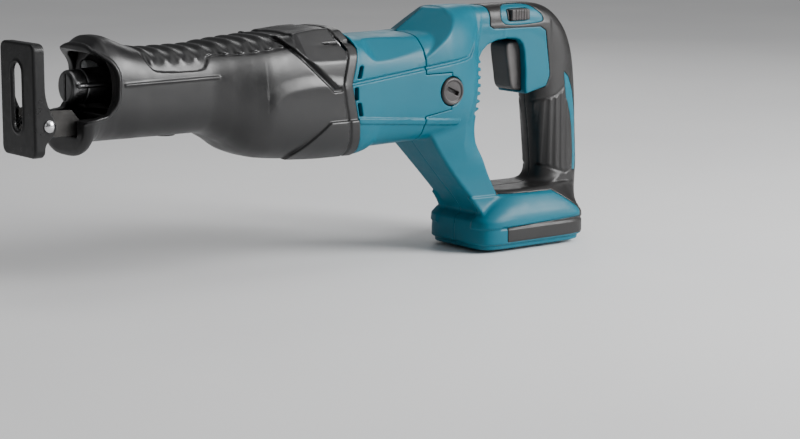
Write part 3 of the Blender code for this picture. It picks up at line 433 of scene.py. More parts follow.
class Look:
    """A material made of nodes, in the object's own coordinates."""

    def __init__(self, name, roughness, metallic=0.0, **fixed):
        self.material = bpy.data.materials.new(name)
        self.material.use_nodes = True
        self.tree = self.material.node_tree
        self.shader = self.tree.nodes["Principled BSDF"]
        self.shader.inputs["Metallic"].default_value = metallic
        self.shader.inputs["Roughness"].default_value = roughness
        for socket, value in fixed.items():
            self.shader.inputs[socket.replace("_", " ")].default_value = value
        self.space = self.node("ShaderNodeTexCoord").outputs["Object"]

    def node(self, kind, **inputs):
        made = self.tree.nodes.new(kind)
        for socket, value in inputs.items():
            target = made.inputs[socket.replace("_", " ")]
            if isinstance(value, bpy.types.NodeSocket):
                self.tree.links.new(value, target)
            else:
                target.default_value = value
        return made

    def noise(self, size_mm, detail=3.0, stretch=None):
        """Noise whose features are about this large."""
        where = self.space
        if stretch:
            mapping = self.node("ShaderNodeMapping", Vector=self.space, Scale=stretch)
            where = mapping.outputs["Vector"]
        made = self.node("ShaderNodeTexNoise", Vector=where, Scale=1 / (size_mm * MM), Detail=detail)
        return made.outputs["Fac"]

    def spread(self, value, low, high, from_low=0.3, from_high=0.7):
        made = self.node(
            "ShaderNodeMapRange",
            Value=value, From_Min=from_low, From_Max=from_high, To_Min=low, To_Max=high,
        )
        return made.outputs["Result"]

    def mixed(self, share, first, second):
        made = self.tree.nodes.new("ShaderNodeMix")
        made.data_type = "RGBA"
        self.tree.links.new(share, made.inputs["Factor"])
        for socket, value in (("A", first), ("B", second)):
            target = next(s for s in made.inputs if s.name == socket and s.type == "RGBA")
            if isinstance(value, bpy.types.NodeSocket):
                self.tree.links.new(value, target)
            else:
                target.default_value = (*value, 1)
        return next(s for s in made.outputs if s.type == "RGBA")

    def colour(self, value):
        if isinstance(value, bpy.types.NodeSocket):
            self.tree.links.new(value, self.shader.inputs["Base Color"])
        else:
            self.shader.inputs["Base Color"].default_value = (*value, 1)
        return self

    def rough(self, value):
        self.tree.links.new(value, self.shader.inputs["Roughness"])
        return self

    def edges(self, radius_mm):
        """1 on convex edges and 0 on flat surfaces, a mask for a painted highlight along edges."""
        bevel = self.tree.nodes.new("ShaderNodeBevel")
        bevel.samples = 4
        bevel.inputs["Radius"].default_value = radius_mm * MM
        geometry = self.tree.nodes.new("ShaderNodeNewGeometry")
        turn = self.tree.nodes.new("ShaderNodeVectorMath")
        turn.operation = "DOT_PRODUCT"
        self.tree.links.new(bevel.outputs["Normal"], turn.inputs[0])
        self.tree.links.new(geometry.outputs["Normal"], turn.inputs[1])
        return self.spread(turn.outputs["Value"], 1, 0, 0.86, 0.99)

    def bumps(self, *layers):
        """Bump from (height socket, depth in millimetres) pairs."""
        normal = None
        for height, depth in layers:
            made = self.node("ShaderNodeBump", Height=height, Distance=depth * MM)
            if normal:
                self.tree.links.new(normal, made.inputs["Normal"])
            normal = made.outputs["Normal"]
        self.tree.links.new(normal, self.shader.inputs["Normal"])
        return self


def shell_plastic(name, deep, bright):
    """Moulded nylon with a fine spark-eroded texture, a little shine and faint handling marks."""
    look = Look(name, 0.42, Specular_IOR_Level=0.3)
    patches = look.noise(38, 4)
    grain = look.noise(0.55, 2)
    look.colour(look.mixed(look.spread(patches, 0, 1), deep, bright))
    look.rough(look.spread(look.noise(9, 5), 0.38, 0.48))
    return look.bumps((grain, 0.035), (look.noise(16, 3), 0.05)).material


def rubber(name, dark, pale, rough_low, rough_high, grain_mm, grain_depth):
    """Moulded elastomer: dark, softly shining, with dusty patches and a fine grain."""
    look = Look(name, rough_low)
    dust = look.noise(24, 6)
    look.colour(look.mixed(look.spread(dust, 0, 1, 0.42, 0.75), dark, pale))
    look.rough(look.spread(look.noise(11, 5), rough_low, rough_high))
    return look.bumps((look.noise(grain_mm, 3), grain_depth), (look.noise(9, 2), 0.06)).material


def metal(name, tint, rough_low, rough_high, drawn=(1, 1, 1)):
    """Steel or alloy with grinding marks along the directions where drawn is small."""
    look = Look(name, rough_low, metallic=1.0)
    marks = look.noise(0.7, 4, drawn)
    look.colour(look.mixed(look.spread(look.noise(8, 4), 0, 1), tint, [0.72 * c for c in tint]))
    look.rough(look.spread(marks, rough_low, rough_high))
    return look.bumps((marks, 0.012), (look.noise(4, 3), 0.02)).material


def blackened(name):
    """Black oxide or paint on steel, with a painted highlight along its convex edges, broken up by noise."""
    look = Look(name, 0.3, 0.0, Specular_IOR_Level=0.35)
    # painted highlight: the convex edges are mixed towards light grey, broken into patches by noise
    edge_highlight = look.edges(0.5)
    highlight_breakup = look.spread(look.noise(2.2, 5), 0.15, 1, 0.4, 0.62)
    share = look.node("ShaderNodeMath", Value=edge_highlight)
    share.operation = "MULTIPLY"
    look.tree.links.new(highlight_breakup, share.inputs[1])
    base = look.mixed(look.spread(look.noise(14, 4), 0, 1), (0.005, 0.005, 0.0055), (0.010, 0.010, 0.0105))
    look.colour(look.mixed(share.outputs["Value"], base, (0.4, 0.4, 0.41)))
    look.rough(look.spread(look.noise(5, 4), 0.26, 0.42))
    return look.bumps((look.noise(0.9, 3), 0.02), (look.noise(6, 2), 0.03)).material


def plain_plastic(name, dark, pale, rough_low, rough_high, grain=0.6):
    """Moulded plastic without the shell's two tones."""
    look = Look(name, rough_low)
    look.colour(look.mixed(look.spread(look.noise(12, 4), 0, 1), dark, pale))
    look.rough(look.spread(look.noise(6, 4), rough_low, rough_high))
    return look.bumps((look.noise(grain, 2), 0.04)).material


def clear_lens(name):
    """Clear plastic, a little clouded."""
    look = Look(name, 0.08, 0.0, Transmission_Weight=0.65, IOR=1.49)
    look.colour(look.mixed(look.spread(look.noise(3, 2), 0, 1), (0.86, 0.88, 0.88), (0.7, 0.73, 0.74)))
    look.rough(look.spread(look.noise(1.5, 3), 0.06, 0.16))
    return look.bumps((look.noise(1.2, 2), 0.02)).material


TEAL = shell_plastic("teal_nylon", (0.0, 0.105, 0.155), (0.0, 0.118, 0.174))
TEAL_BARREL = shell_plastic("teal_nylon_barrel", (0.0, 0.108, 0.16), (0.0, 0.121, 0.178))
BOOT_RUBBER = rubber("boot_rubber", (0.010, 0.010, 0.0105), (0.016, 0.0155, 0.016), 0.3, 0.42, 0.5, 0.02)
GRIP_RUBBER = rubber("grip_elastomer", (0.007, 0.0065, 0.0065), (0.012, 0.011, 0.011), 0.36, 0.48, 0.45, 0.04)
SHOE_STEEL = blackened("blackened_steel")
CLAMP_STEEL = metal("phosphated_steel", (0.17, 0.17, 0.172), 0.26, 0.42)
BAR_STEEL = metal("bar_steel", (0.07, 0.068, 0.066), 0.3, 0.42)
STEEL = metal("bright_steel", (0.56, 0.56, 0.57), 0.2, 0.38, (0.25, 1, 1))
RIVET_STEEL = metal("rivet_steel", (0.72, 0.72, 0.73), 0.16, 0.3)
ALLOY = metal("cast_alloy", (0.55, 0.55, 0.56), 0.42, 0.6)
IRON = metal("lamination_iron", (0.16, 0.16, 0.165), 0.4, 0.6, (6, 1, 1))
DARK = plain_plastic("dark_plastic", (0.018, 0.017, 0.017), (0.03, 0.028, 0.028), 0.42, 0.55)
CAP = plain_plastic("cap_plastic", (0.03, 0.0265, 0.0265), (0.046, 0.041, 0.041), 0.38, 0.5, 0.4)
TRIGGER_PLASTIC = plain_plastic(
    "trigger_plastic", (0.055, 0.05, 0.049), (0.072, 0.066, 0.065), 0.42, 0.54, 0.4
)
CARBON = plain_plastic("pressed_carbon", (0.03, 0.03, 0.03), (0.05, 0.05, 0.05), 0.6, 0.75)
COPPER = metal("copper", (0.74, 0.4, 0.23), 0.22, 0.4)
RED = plain_plastic("red_insulation", (0.42, 0.02, 0.02), (0.5, 0.03, 0.03), 0.35, 0.5)
LENS = clear_lens("lamp_lens")


# ---------------------------------------------------------------- boot


def chevron(grid, x):
    """How far behind the boot's end, which dips forward at mid height, a point is."""
    line = [
        (x - 8, 80), (x - 2.5, 29), (x + 4.5, 16), (x - 3.2, -9), (x + 2, -32), (x + 6, -56), (x + 8, -100),
    ]
    return -outline(grid.x, grid.z, [*line, (x + 400, -100), (x + 400, 80)])


def boot_relief(grid, side_only, rear):
    """Height of what is moulded on the boot's outside, in millimetres."""
    x, z = grid.x, grid.z
    pad_edge = [
        (77, 44), (79, 24), (84, 12.5), (92, 8.6), (122, 7.6), (129, 12), (134, 16.2), (160, 16.0),
        (188, 18.5), (199, 21), (197, 44), (140, 60),
    ]
    pad = outline(x, z, curve_through(pad_edge, 4, True))
    wave = np.clip(0.5 + 0.6 * np.cos(2 * np.pi * (x - 86) / 11.6), 0, 1)
    ribbed = ease(pad, -2.2, -1.0) * ease(-z, -18, -11) * ease(x, 188, 196) * (1 - ease(x, 82, 86))
    height = -1.3 * ease(pad, -0.7, 0.1) + 1.5 * ribbed * wave
    height = height + side_only * 1.2 * ease(near_line(x, z, [(63, 2.2), (136, 2.6)]), 0.5, 1.3)
    crest = curve_through([(178, -19), (183, -14.5), (191, -11.5), (212, -9.5), (236, -12)])
    shoulder = near_line(x, z, crest)
    above = outline(x, z, [*crest, (240, 40), (172, 40), (172, -24)])
    height = height + side_only * 1.7 * np.where(above < 0, ease(shoulder, 0, 10), np.exp(-shoulder / 7))
    forward = ease(rear, -9.6, -9.1)
    upper_edge = [(183, 44), (188, 25.5), (207, 9.6), (228.5, -10), (238, -9.5), (246, 11), (246, 44)]
    upper = outline(x, z, upper_edge)
    height = height + forward * side_only * 1.8 * ease(upper, -0.8, 0.1)
    groove = near_line(x, z, [(187, 26), (206, 8.2), (227, -12.0), (237, -11.8)])
    height = height - forward * side_only * 1.8 * ease(groove, 0.9, 1.8)
    lower = outline(x, z, [(196, -56), (224, -34), (250, -34), (262, -36), (262, -80), (188, -80)])
    return height + side_only * 2.0 * ease(lower, -0.8, 0.1)


def make_boot():
    grid = Grid((29, -41.5, -66), (254, 41.5, 36), 0.7)
    bare = body_along_x(grid, BOOT)
    side_only = ease(-grid.side, -24, -16)
    rear = chevron(grid, BOOT_END)
    outside = bare - boot_relief(grid, side_only, rear)
    roof = 0.77 * (grid.side - 38) + 0.63 * (grid.z - 10.5) - 0.3 * np.maximum(0, 206 - grid.x)
    outside = common(outside, np.where(grid.x > 186, roof, -50), 0.8)
    outside = outside + 1.0 * ease(np.abs(rear + 8.5), 0.6, 1.3)
    mouth = outline(grid.x, grid.z, curve_through(MOUTH, 4, True))
    outside = outside - 1.3 * ease(mouth, 1.2, 3.0)
    wall = 3.6 + 1.5 * ease(mouth, 2, 7)
    inside = np.maximum(bare + wall, np.where(grid.x < 66, -19.5 - grid.z, -50))
    shell = cut(outside, inside, 1.2)
    shell = cut(shell, mouth, 1.0)
    tunnel = np.maximum(grid.side - BAR_HALF_WIDTH - 0.7, np.maximum(-31.0 - grid.z, grid.z + 12))
    shell = cut(shell, np.maximum(tunnel, grid.x - 60), 0.6)
    shell = common(shell, 32.8 - grid.x, 1.2)
    shell = common(shell, rear, 1.2)
    button = np.maximum(np.hypot(grid.x - LATCH_X, grid.y) - 7.4, grid.z + 28)
    shell = cut(shell, button, 1.0)
    place(skin("rubber_boot", grid, shell, BOOT_RUBBER), "root", "boot_rubber", "boot")


def make_collar():
    """The dark ring behind the mouth. Its face slopes in to the clamp, and a shelf carries the lamp."""
    grid = Grid((56, -30, -17), (92, 30, 25), 0.6)
    ring = body_along_x(grid, BOOT) + 5.4
    ring = common(ring, 58.5 - grid.x, 1.0)
    ring = common(ring, grid.x - 91.5, 0.6)
    ring = common(ring, -17 - grid.z, 0.6)
    funnel = np.hypot(grid.y, grid.z) - 15.2 - 6 * ease(grid.x, 59, 70)
    ring = cut(ring, funnel, 1.0)
    lamp = np.maximum(np.hypot(grid.y - LAMP[1], grid.z - LAMP[2]) - LENS_HOLE_RADIUS, grid.x - 70)
    ring = cut(ring, lamp, 0.6)
    place(skin("mouth_ring", grid, ring, DARK), "root", "dark_plastic", "front_collar")


# ---------------------------------------------------------------- motor housing and handle


def barrel_outside(grid):
    """The round motor part, its chamfered shoulders and the hump where the handle starts."""
    barrel = body_along_x(grid, BARREL)
    chamfer = [(240, 22), (244, 20), (250, 14.6), (254.5, 11.8), (268, 4.2), (311, 8.6), (346, 12)]
    (edge,) = smooth_columns(chamfer, grid.x)
    barrel = common(barrel, 0.72 * (grid.side - 37.4) + 0.69 * (grid.z - edge), 0.8)
    facet = 0.5 * (311.5 - grid.x) + 0.38 * (grid.side - 36) + 0.8 * (grid.z - 7)
    hump = common(body_along_x(grid, HUMP), np.maximum(facet, 304 - grid.x), 1.2)
    return np.maximum(blend(barrel, hump, 1.0), grid.x - 374)


def casing_outside(grid):
    """The teal casing of motor, brace, foot and handle loop as one blended field, without its relief."""
    loop = body_along_path(grid, LOOP)
    housing = common(outline(grid.x, grid.z, TRIGGER_HOUSING), grid.side - 17, 2.0)
    front, back, half = smooth_columns(BRACE, grid.z)
    taper = 0.5 * np.maximum(0, grid.x - back + 16) * ease(-grid.z, 50, 80)
    brace = common(0.8 * np.maximum(front - grid.x, grid.x - back), grid.side - half + taper, 2.6)
    brace = np.maximum(brace, np.maximum(grid.z + 42, -grid.z - 128))
    gusset = common(outline(grid.x, grid.z, GUSSET), grid.side - 17, 2.0)
    foot = body_along_z(grid, FOOT)
    foot = common(foot, np.maximum(grid.z + 101, -146 - grid.z), 1.5)
    whole = blend(blend(barrel_outside(grid), loop, 6.0), gusset, 1.5)
    whole = blend(whole, housing, 1.5)
    return blend(blend(whole, foot, 11.0), brace, 2.5)


def casing_relief(grid):
    """Height of the ridges and grooves on the casing's sides."""
    x, z = grid.x, grid.z
    on_side = ease(-grid.side, -31, -24)
    groove_line = [
        (238, -9.4), (280, -5), (320, -0.4), (350, 3.2), (356, 7), (362, 14), (368, 20.5), (376, 28),
    ]
    groove = near_line(x, z, curve_through(groove_line))
    height = -1.5 * on_side * ease(groove, 0.8, 1.5)
    ridge = near_line(x, z, [(248, -35.2), (344, -43.7)])
    height = height + 1.1 * on_side * ease(ridge, 1.8, 2.5)
    louvres = np.clip(np.cos(2 * np.pi * (z + 2) / 6.0) * 1.8, -1, 1)
    on_rear = ease(grid.side, 20, 23) * (1 - ease(x, 362, 366)) * ease(x, 380, 384)
    return height + 1.2 * louvres * on_rear * ease(np.abs(z + 22), 19, 22)


def motor_side(grid):
    """Negative on the motor housing's side of the joint, which runs out to the brush caps."""
    front = grid.x - SEAM_X
    under = -33.2 + 0.16 * (grid.x - BRUSH_X) - grid.z
    tab = np.maximum(grid.x - BRUSH_X, np.maximum(under, grid.z + 6.3))
    return np.minimum(front, tab)


def vents(grid):
    """The slots right behind the boot."""
    found = np.float32(99)
    for x, z, half, lean in ((251.2, -1.0, 4.4, 0.32), (247.4, -16.0, 4.6, 0.0), (250.6, -27.4, 4.8, -0.18)):
        found = np.minimum(found, box_field(grid.x - x - lean * (grid.z - z), grid.z - z, 1.7, half, 0.8))
    return np.maximum(found, 33 - grid.side)


def cap_seat(grid):
    """The round well that a brush cap sits in."""
    return np.maximum(np.hypot(grid.x - BRUSH_X, grid.z - MOTOR_Z) - CAP_SEAT_RADIUS, 25 - grid.side)


def motor_bore(grid):
    """Room for the motor, and the narrower room behind it for its rear bearing."""
    round_motor = np.hypot(grid.y, grid.z - MOTOR_Z)
    chamber = np.maximum(round_motor - 29.5, grid.x - 328)
    return np.minimum(chamber, np.maximum(round_motor - 17, grid.x - 360))


def make_motor_housing():
    grid = Grid((238, -40.5, -64), (346, 40.5, 32), 0.66)
    outside = barrel_outside(grid) - casing_relief(grid)
    shell = common(outside, motor_side(grid) + GAP / 2, 0.5)
    shell = common(shell, -chevron(grid, BOOT_END + GAP), 0.8)
    shell = cut(shell, motor_bore(grid), 0.6)
    shell = cut(shell, cap_seat(grid), 0.6)
    shell = cut(shell, vents(grid), 0.6)
    place(skin("motor_barrel", grid, shell, TEAL_BARREL), "root", "teal_shell", "motor_housing")


def grip_area(grid):
    """Negative where the overmould covers the handle, seen from the side."""
    x, z = grid.x, grid.z
    line = [
        (386, 60), (386, 23), (390, 20.6), (436, 20.0), (441, 17), (443.5, 0), (445.8, -17), (442, -25.8),
        (425, -30), (408, -34), (404, -92), (388, -96), (388, -138.5), (510, -138.5), (510, 60),
    ]
    area = outline(x, z, line)
    window_edge = [(401.2, 24.4), (400.8, 36.4), (424, 37.4), (432.5, 33.4), (438, 28), (434, 24.2)]
    window = outline(x, z, curve_through(window_edge, 4, True))
    well = box_field(x - 414.6, z - 30.7, 11.4, 4.6, 1.6)
    area = cut(area, np.maximum(np.maximum(window, -well), 6 - grid.side), 0.8)
    strip_edge = [
        (461, -16), (465.5, -20), (470.5, -31), (474.5, -48), (476, -66), (476.5, -78), (475, -92),
        (471, -92), (471.5, -78), (470.5, -60), (468.5, -48), (463.5, -36),
    ]
    strip = outline(x, z, strip_edge)
    area = cut(area, np.maximum(strip, 4 - grid.side), 0.8)
    block = outline(x, z, [(380, -104), (440, -104.5), (462, -119), (462, -124.5), (380, -127)])
    return cut(area, np.maximum(block, 20.5 - grid.side), 0.8)


def handle_openings(grid):
    """Room for the trigger, the switch, the lock button and the battery."""
    mouth = np.maximum(outline(grid.x, grid.z, TRIGGER_ROOM), grid.side - TRIGGER_ROOM_HALF_WIDTH)
    switch = np.maximum(box_field(grid.x - 442, grid.z + 7, 14.2, 15.8, 0.5), grid.side - 11.2)
    lock = np.maximum(box_field(grid.x - LOCK[0], grid.z - LOCK[1], 9.4, 4.6, 1.0), 0 * grid.side)
    channel = np.maximum(box_field(grid.y, grid.z + 135.8, RAIL_HALF, 6.3, 0.8), 380 - grid.x)
    neck = np.maximum(box_field(grid.y, grid.z + 146, 22, 8, 0.5), 380 - grid.x)
    found = np.minimum(np.minimum(mouth, switch), lock)
    return np.minimum(found, np.minimum(channel, neck))


# The handle's screws as (x, z, y of the seat under the head)
HANDLE_SCREWS = [(357, 29, 12.0), (437, 28, 9.0), (461, -44, 9.0), (461, -88, 9.0), (378, -114, 14.0)]


def screw_wells(grid):
    """Round wells for the screw heads, which go in from the right."""
    found = np.float32(99)
    for x, z, _ in HANDLE_SCREWS:
        found = np.minimum(found, np.hypot(grid.x - x, grid.z - z) - SCREW_WELL_RADIUS)
    return np.maximum(found, 8.0 - grid.y)


def foot_relief(grid):
    """Height of the block on the foot's side, the groove under it and the part drawn in below the rim."""
    block = outline(grid.x, grid.z, [(360, -103), (440, -104.5), (461.5, -119), (461.5, -124), (360, -128)])
    raised = 1.2 * ease(block, -0.8, 0.2) * ease(-grid.side, -22, -18)
    drawn_in = 2.6 * ease(grid.z, -140.6, -138.6) * ease(-grid.x, -1, 0)
    groove = 0.9 * ease(np.abs(grid.z + 127), 0.5, 1.4) * ease(-grid.side, -24, -22)
    return raised - drawn_in - groove * ease(-grid.x, -384, -380)


def make_handle():
    for hand, side in (("left", -1), ("right", 1)):
        edges = (-40.5, 0) if side < 0 else (0, 40.5)
        grid = Grid((309, edges[0], -146.5), (484, edges[1], 40), 0.72)
        bare = casing_outside(grid)
        outside = bare - casing_relief(grid) - foot_relief(grid)
        area = grip_area(grid)
        plane = 0.04 - side * grid.y
        openings = handle_openings(grid)
        shell = outside + 1.6 * ease(area, -1.2, -0.4)
        shell = common(shell, -motor_side(grid) + GAP / 2, 0.5)
        shell = cut(shell, openings, 0.8)
        shell = cut(shell, cap_seat(grid), 0.6)
        shell = cut(shell, motor_bore(grid), 0.6)
        if side > 0:
            shell = cut(shell, screw_wells(grid), 0.6)
        shell = np.maximum(shell, plane)
        place(skin(f"handle_shell_{hand}", grid, shell, TEAL), "root", "teal_shell", f"handle_{hand}")
        make_grip(grid, hand, side, outside, area, openings, plane)


def grip_relief(grid):
    """A panel of shallow upright ribs under the palm, with a groove round it."""
    x, z = grid.x, grid.z
    panel_edge = [(431, -42), (452, -33), (466, -27), (468, -60), (467, -92), (446, -88), (431, -84)]
    panel = outline(x, z, curve_through(panel_edge, 4, True))
    ribs = np.clip(0.5 + 0.9 * np.cos(2 * np.pi * (x - 431) / 5.5), 0, 1)
    edge = ease(np.abs(panel), 0.4, 1.2)
    return -0.45 * edge + 0.5 * ease(panel, -2.4, -1.2) * ribs


def make_grip(grid, hand, side, outside, area, openings, plane):
    """The overmould, a thin skin that stands a little proud of the shell."""
    side_only = ease(-grid.side, -9, -5)
    skin_field = outside - GRIP_PROUD - side_only * grip_relief(grid)
    skin_field = np.maximum(skin_field, -(outside + 1.3))
    skin_field = common(skin_field, area + 0.25, 0.9)
    skin_field = cut(skin_field, openings, 0.8)
    if side > 0:
        skin_field = cut(skin_field, screw_wells(grid), 0.6)
    skin_field = np.maximum(skin_field, plane)
    place(skin(f"grip_skin_{hand}", grid, skin_field, GRIP_RUBBER), "root", "grip_rubber", f"grip_{hand}")


# ---------------------------------------------------------------- brush caps, trigger, lock button


def make_brush_caps():
    for hand, side in (("left", -1), ("right", 1)):
        low, high = sorted((side * 30.0, side * 41.0))
        grid = Grid((BRUSH_X - 12, low, MOTOR_Z - 12), (BRUSH_X + 12, high, MOTOR_Z + 12), 0.34)
        away = np.hypot(grid.x - BRUSH_X, grid.z - MOTOR_Z)
        face = side * grid.y - 39.5
        cap = common(common(away - CAP_RADIUS, face, 2.2), 32.5 - side * grid.y, 0.5)
        dish = common(away - 7.6, -(side * grid.y - 38.7), 0.4)
        cap = cut(cap, dish, 1.2)
        turn = math.radians(-25)
        u = (grid.x - BRUSH_X) * math.cos(turn) + (grid.z - MOTOR_Z) * math.sin(turn)
        v = -(grid.x - BRUSH_X) * math.sin(turn) + (grid.z - MOTOR_Z) * math.cos(turn)
        slot = np.maximum(box_field(u, v, 5.4, 1.5, 0.4), 35.6 - side * grid.y)
        cap = cut(cap, slot, 0.5)
        place(skin(f"brush_door_{hand}", grid, cap, CAP), "root", "dark_plastic", f"brush_cap_{hand}")


def make_trigger():
    grid = Grid((406, -11, -29), (424.5, 11, 10.5), 0.36)
    side_view = outline(grid.x, grid.z, curve_through(TRIGGER, 3, True))
    pull = common(side_view, grid.side - TRIGGER_HALF_WIDTH, 2.4)
    pull = common(pull, grid.x - TRIGGER_BACK, 0.5)
    hollow = np.maximum(box_field(grid.x - 424, grid.z + 8, 8.5, 13.5, 1.0), grid.side - 8)
    pull = cut(pull, hollow, 0.6)
    place(skin("trigger_paddle", grid, pull, TRIGGER_PLASTIC), "trigger", "dark_plastic", "trigger")


def make_lock_button():
    grid = Grid((405, -20.5, 25.5), (425, 15.5, 35.5), 0.36)
    bolt = box_field(grid.x - LOCK[0], grid.z - LOCK[1], 9.0, 4.2, 1.4)
    button = common(bolt, np.abs(grid.y + 2.5) - 17.0, 1.4)
    ribs = np.clip(np.cos(2 * np.pi * (grid.x - LOCK[0]) / 2.6), 0, 1) * ease(np.abs(grid.x - LOCK[0]), 6, 7)
    button = button + 0.5 * ribs * ease(-np.abs(grid.y + 2.5), -16.8, -15.5)
    place(skin("lock_bolt", grid, button, CAP), "lock_button", "dark_plastic", "lock_button")


# ---------------------------------------------------------------- shoe, clamp and lamp


def make_shoe():
    """A pressed plate: one bent sheet for face, top and sides, with the flanks drawn back to the rivet."""
    grid = Grid((-0.5, -23.5, -44), (18, 23.5, 33), 0.4)
    flank = curve_through(
        [(0, 32), (5, 32), (8.0, 31.2), (8.4, 24), (8.4, 4), (9.0, -3), (11.0, -10), (14.4, -17), (16.0, -22),
         (14.8, -27.3), (10.8, -31.5), (8.0, -35.4), (7.2, -42.4), (4, -43), (0, -43)], 3, True)
    side_view = outline(grid.x, grid.z, flank)
    plan = box_field(grid.y, grid.z + 5.5, SHOE_HALF_WIDTH, 37.5, 5.5)
    block = common(common(plan, -grid.x, 1.8), side_view, 0.5)
    inner = box_field(grid.y, grid.z + 5.5, SHOE_HALF_WIDTH - 2.3, 35.2, 3.5)
    hollow = common(inner, 2.4 - grid.x, 1.5)
    plate = cut(block, hollow, 0.5)
    slot = box_field(grid.y, grid.z + 4, 6.5, 22.5, 6.4)
    plate = plate - 0.6 * ease(np.abs(slot - 1.2), 0.2, 1.6) * ease(grid.x, 1.0, 2.0)
    plate = cut(plate, slot, 0.8)
    hole = np.hypot(grid.x - PIVOT[0], grid.z - PIVOT[1]) - 3.3
    plate = cut(plate, np.maximum(hole, 15 - grid.side), 0.4)
    place(skin("pressed_shoe", grid, plate, SHOE_STEEL), "shoe_plate", "shoe_steel", "shoe_plate")


def make_rivet():
    grid = Grid((PIVOT[0] - 5.5, -25.2, PIVOT[1] - 5.5), (PIVOT[0] + 5.5, 25.2, PIVOT[1] + 5.5), 0.32)
    away = np.hypot(grid.x - PIVOT[0], grid.z - PIVOT[1])
    dome = np.sqrt(away**2 + (grid.side - 18.6) ** 2) - 6.2
    head = common(common(dome, away - 4.5, 0.5), 22.8 - grid.side, 0.4)
    shank = np.maximum(away - 3.0, grid.side - 23.2)
    rivet = skin("shoe_rivet_heads", grid, np.minimum(head, shank), RIVET_STEEL)
    place(rivet, "shoe_bar", "bright_steel", "shoe_rivet")


def make_clamp():
    """The blade holder's round nose, and the sleeve that is twisted to free the blade."""
    grid = Grid((35, -12.5, -12.5), (60, 12.5, 12.5), 0.4)
    away = np.hypot(grid.y, grid.z)
    nose = common(away - NOSE_RADIUS, 35.6 - grid.x, 3.4)
    nose = common(nose, np.maximum(grid.x - 59.6, np.where(grid.x > 45.9, away - 9.6, -9)), 0.3)
    slot = np.maximum(np.abs(grid.y) - 1.1, np.abs(grid.z) - 9.0)
    nose = cut(nose, np.maximum(slot, grid.x - 54), 0.5)
    place(skin("clamp_nose", grid, nose, CLAMP_STEEL), "plunger", "shoe_steel", "blade_holder")

    grid = Grid((36, -15.4, -13), (75, 13, 13), 0.4)
    away = np.hypot(grid.y, grid.z)
    sleeve = common(away - SLEEVE_RADIUS, np.abs(grid.x - 60.2) - 14.0, 1.2)
    turn = np.arctan2(grid.z, grid.y)
    knurl = 0.35 * np.clip(np.cos(30 * turn) * 1.5, 0, 1) * ease(np.abs(grid.x - 66.5), 5.5, 6.5)
    sleeve = sleeve + knurl
    past_end = np.maximum(np.abs(grid.x - 48) - 9.0, 0)
    lever = np.sqrt(past_end**2 + (grid.y + 13.0) ** 2 + (grid.z - 1.6) ** 2) - 1.7
    sleeve = blend(sleeve, lever, 0.6)
    sleeve = cut(sleeve, away - SLEEVE_BORE, 0.4)
    place(skin("twist_sleeve", grid, sleeve, CLAMP_STEEL), "clamp_sleeve", "shoe_steel", "clamp_sleeve")


def make_lamp():
    grid = Grid((57.5, LAMP[1] - 5, LAMP[2] - 5), (68, LAMP[1] + 5, LAMP[2] + 5), 0.32)
    away = np.hypot(grid.y - LAMP[1], grid.z - LAMP[2])
    lens = common(away - LENS_RADIUS, np.sqrt(away**2 + (grid.x - 66) ** 2) - 8.0, 0.4)
    lens = common(lens, grid.x - 67, 0.3)
    place(skin("lamp_dome", grid, lens, LENS), "root", "lamp_lens", "led_lens")


def make_latch_button():
    grid = Grid((LATCH_X - 8, -8, -39), (LATCH_X + 8, 8, -27), 0.36)
    away = np.hypot(grid.x - LATCH_X, grid.y)
    cap = common(away - 7.0, np.abs(grid.z + 36.4) - 1.8, 0.9)
    rings = 0.35 * np.clip(np.cos(2 * np.pi * away / 2.2), 0, 1) * ease(away, 5, 6)
    cap = cap + rings * ease(grid.z, -37.4, -36.4)
    neck = np.maximum(away - 1.6, np.abs(grid.z + 32.2) - 2.8)
    tooth = np.maximum(box_field(grid.x - LATCH_X, grid.y, 1.2, 4.5, 0.3), np.abs(grid.z + 29.1) - 1.3)
    whole = np.minimum(cap, np.minimum(neck, tooth))
    place(skin("shoe_release", grid, whole, DARK), "shoe_latch", "dark_plastic", "shoe_lock_button")


def make_screws():
    """Pan heads with a six-lobed socket."""
    for number, (x, z, seat) in enumerate(HANDLE_SCREWS, start=1):
        under = seat + 0.3
        grid = Grid((x - 3.8, -9.3, z - 3.8), (x + 3.8, under + 3.0, z + 3.8), 0.3)
        away = np.hypot(grid.x - x, grid.z - z)
        lobes = 1.35 + 0.28 * np.cos(6 * np.arctan2(grid.z - z, grid.x - x))
        head = common(common(away - SCREW_HEAD_RADIUS, grid.y - under - 2.6, 0.9), under - grid.y, 0.2)
        head = cut(head, np.maximum(away - lobes, under + 0.9 - grid.y), 0.25)
        thread = 0.16 * np.cos(2 * np.pi * (grid.y / 1.3) + np.arctan2(grid.z - z, grid.x - x))
        shank = np.maximum(away - 1.5 - thread, np.maximum(-9.0 - grid.y, grid.y - under - 0.3))
        screw = skin(f"case_screw_{number}", grid, np.minimum(head, shank), STEEL)
        place(screw, "root", "bright_steel", f"handle_screw_{number}")


# ---------------------------------------------------------------- nodes kept from the model

KEPT = {
    STEEL: [
        "rod_bush_front", "rod_bush_rear", "plunger_rod", "yoke", "clamp_spring", "bevel_gear",
        "crank_pin", "crank_roller", "gear_upper_bearing", "gear_lower_bush", "armature_shaft", "pinion",
        "motor_front_bearing", "motor_rear_bearing", "brush_spring_left", "brush_spring_right",
    ],
    ALLOY: ["gear_housing", "gear_housing_cover", "bearing_plate", "stator_can"],
    BAR_STEEL: ["shoe_bar"],
    IRON: ["armature_core", "magnet_left", "magnet_right"],
    DARK: ["led_board", "fan", "switch_body", "terminal_block"],
    COPPER: ["commutator", "brush_holder_left", "brush_holder_right", "terminal_plus", "terminal_minus"],
    CARBON: ["carbon_brush_left", "carbon_brush_right"],
    BOOT_RUBBER: ["rod_seal"],
    RED: ["lead_battery", "lead_motor"],
}


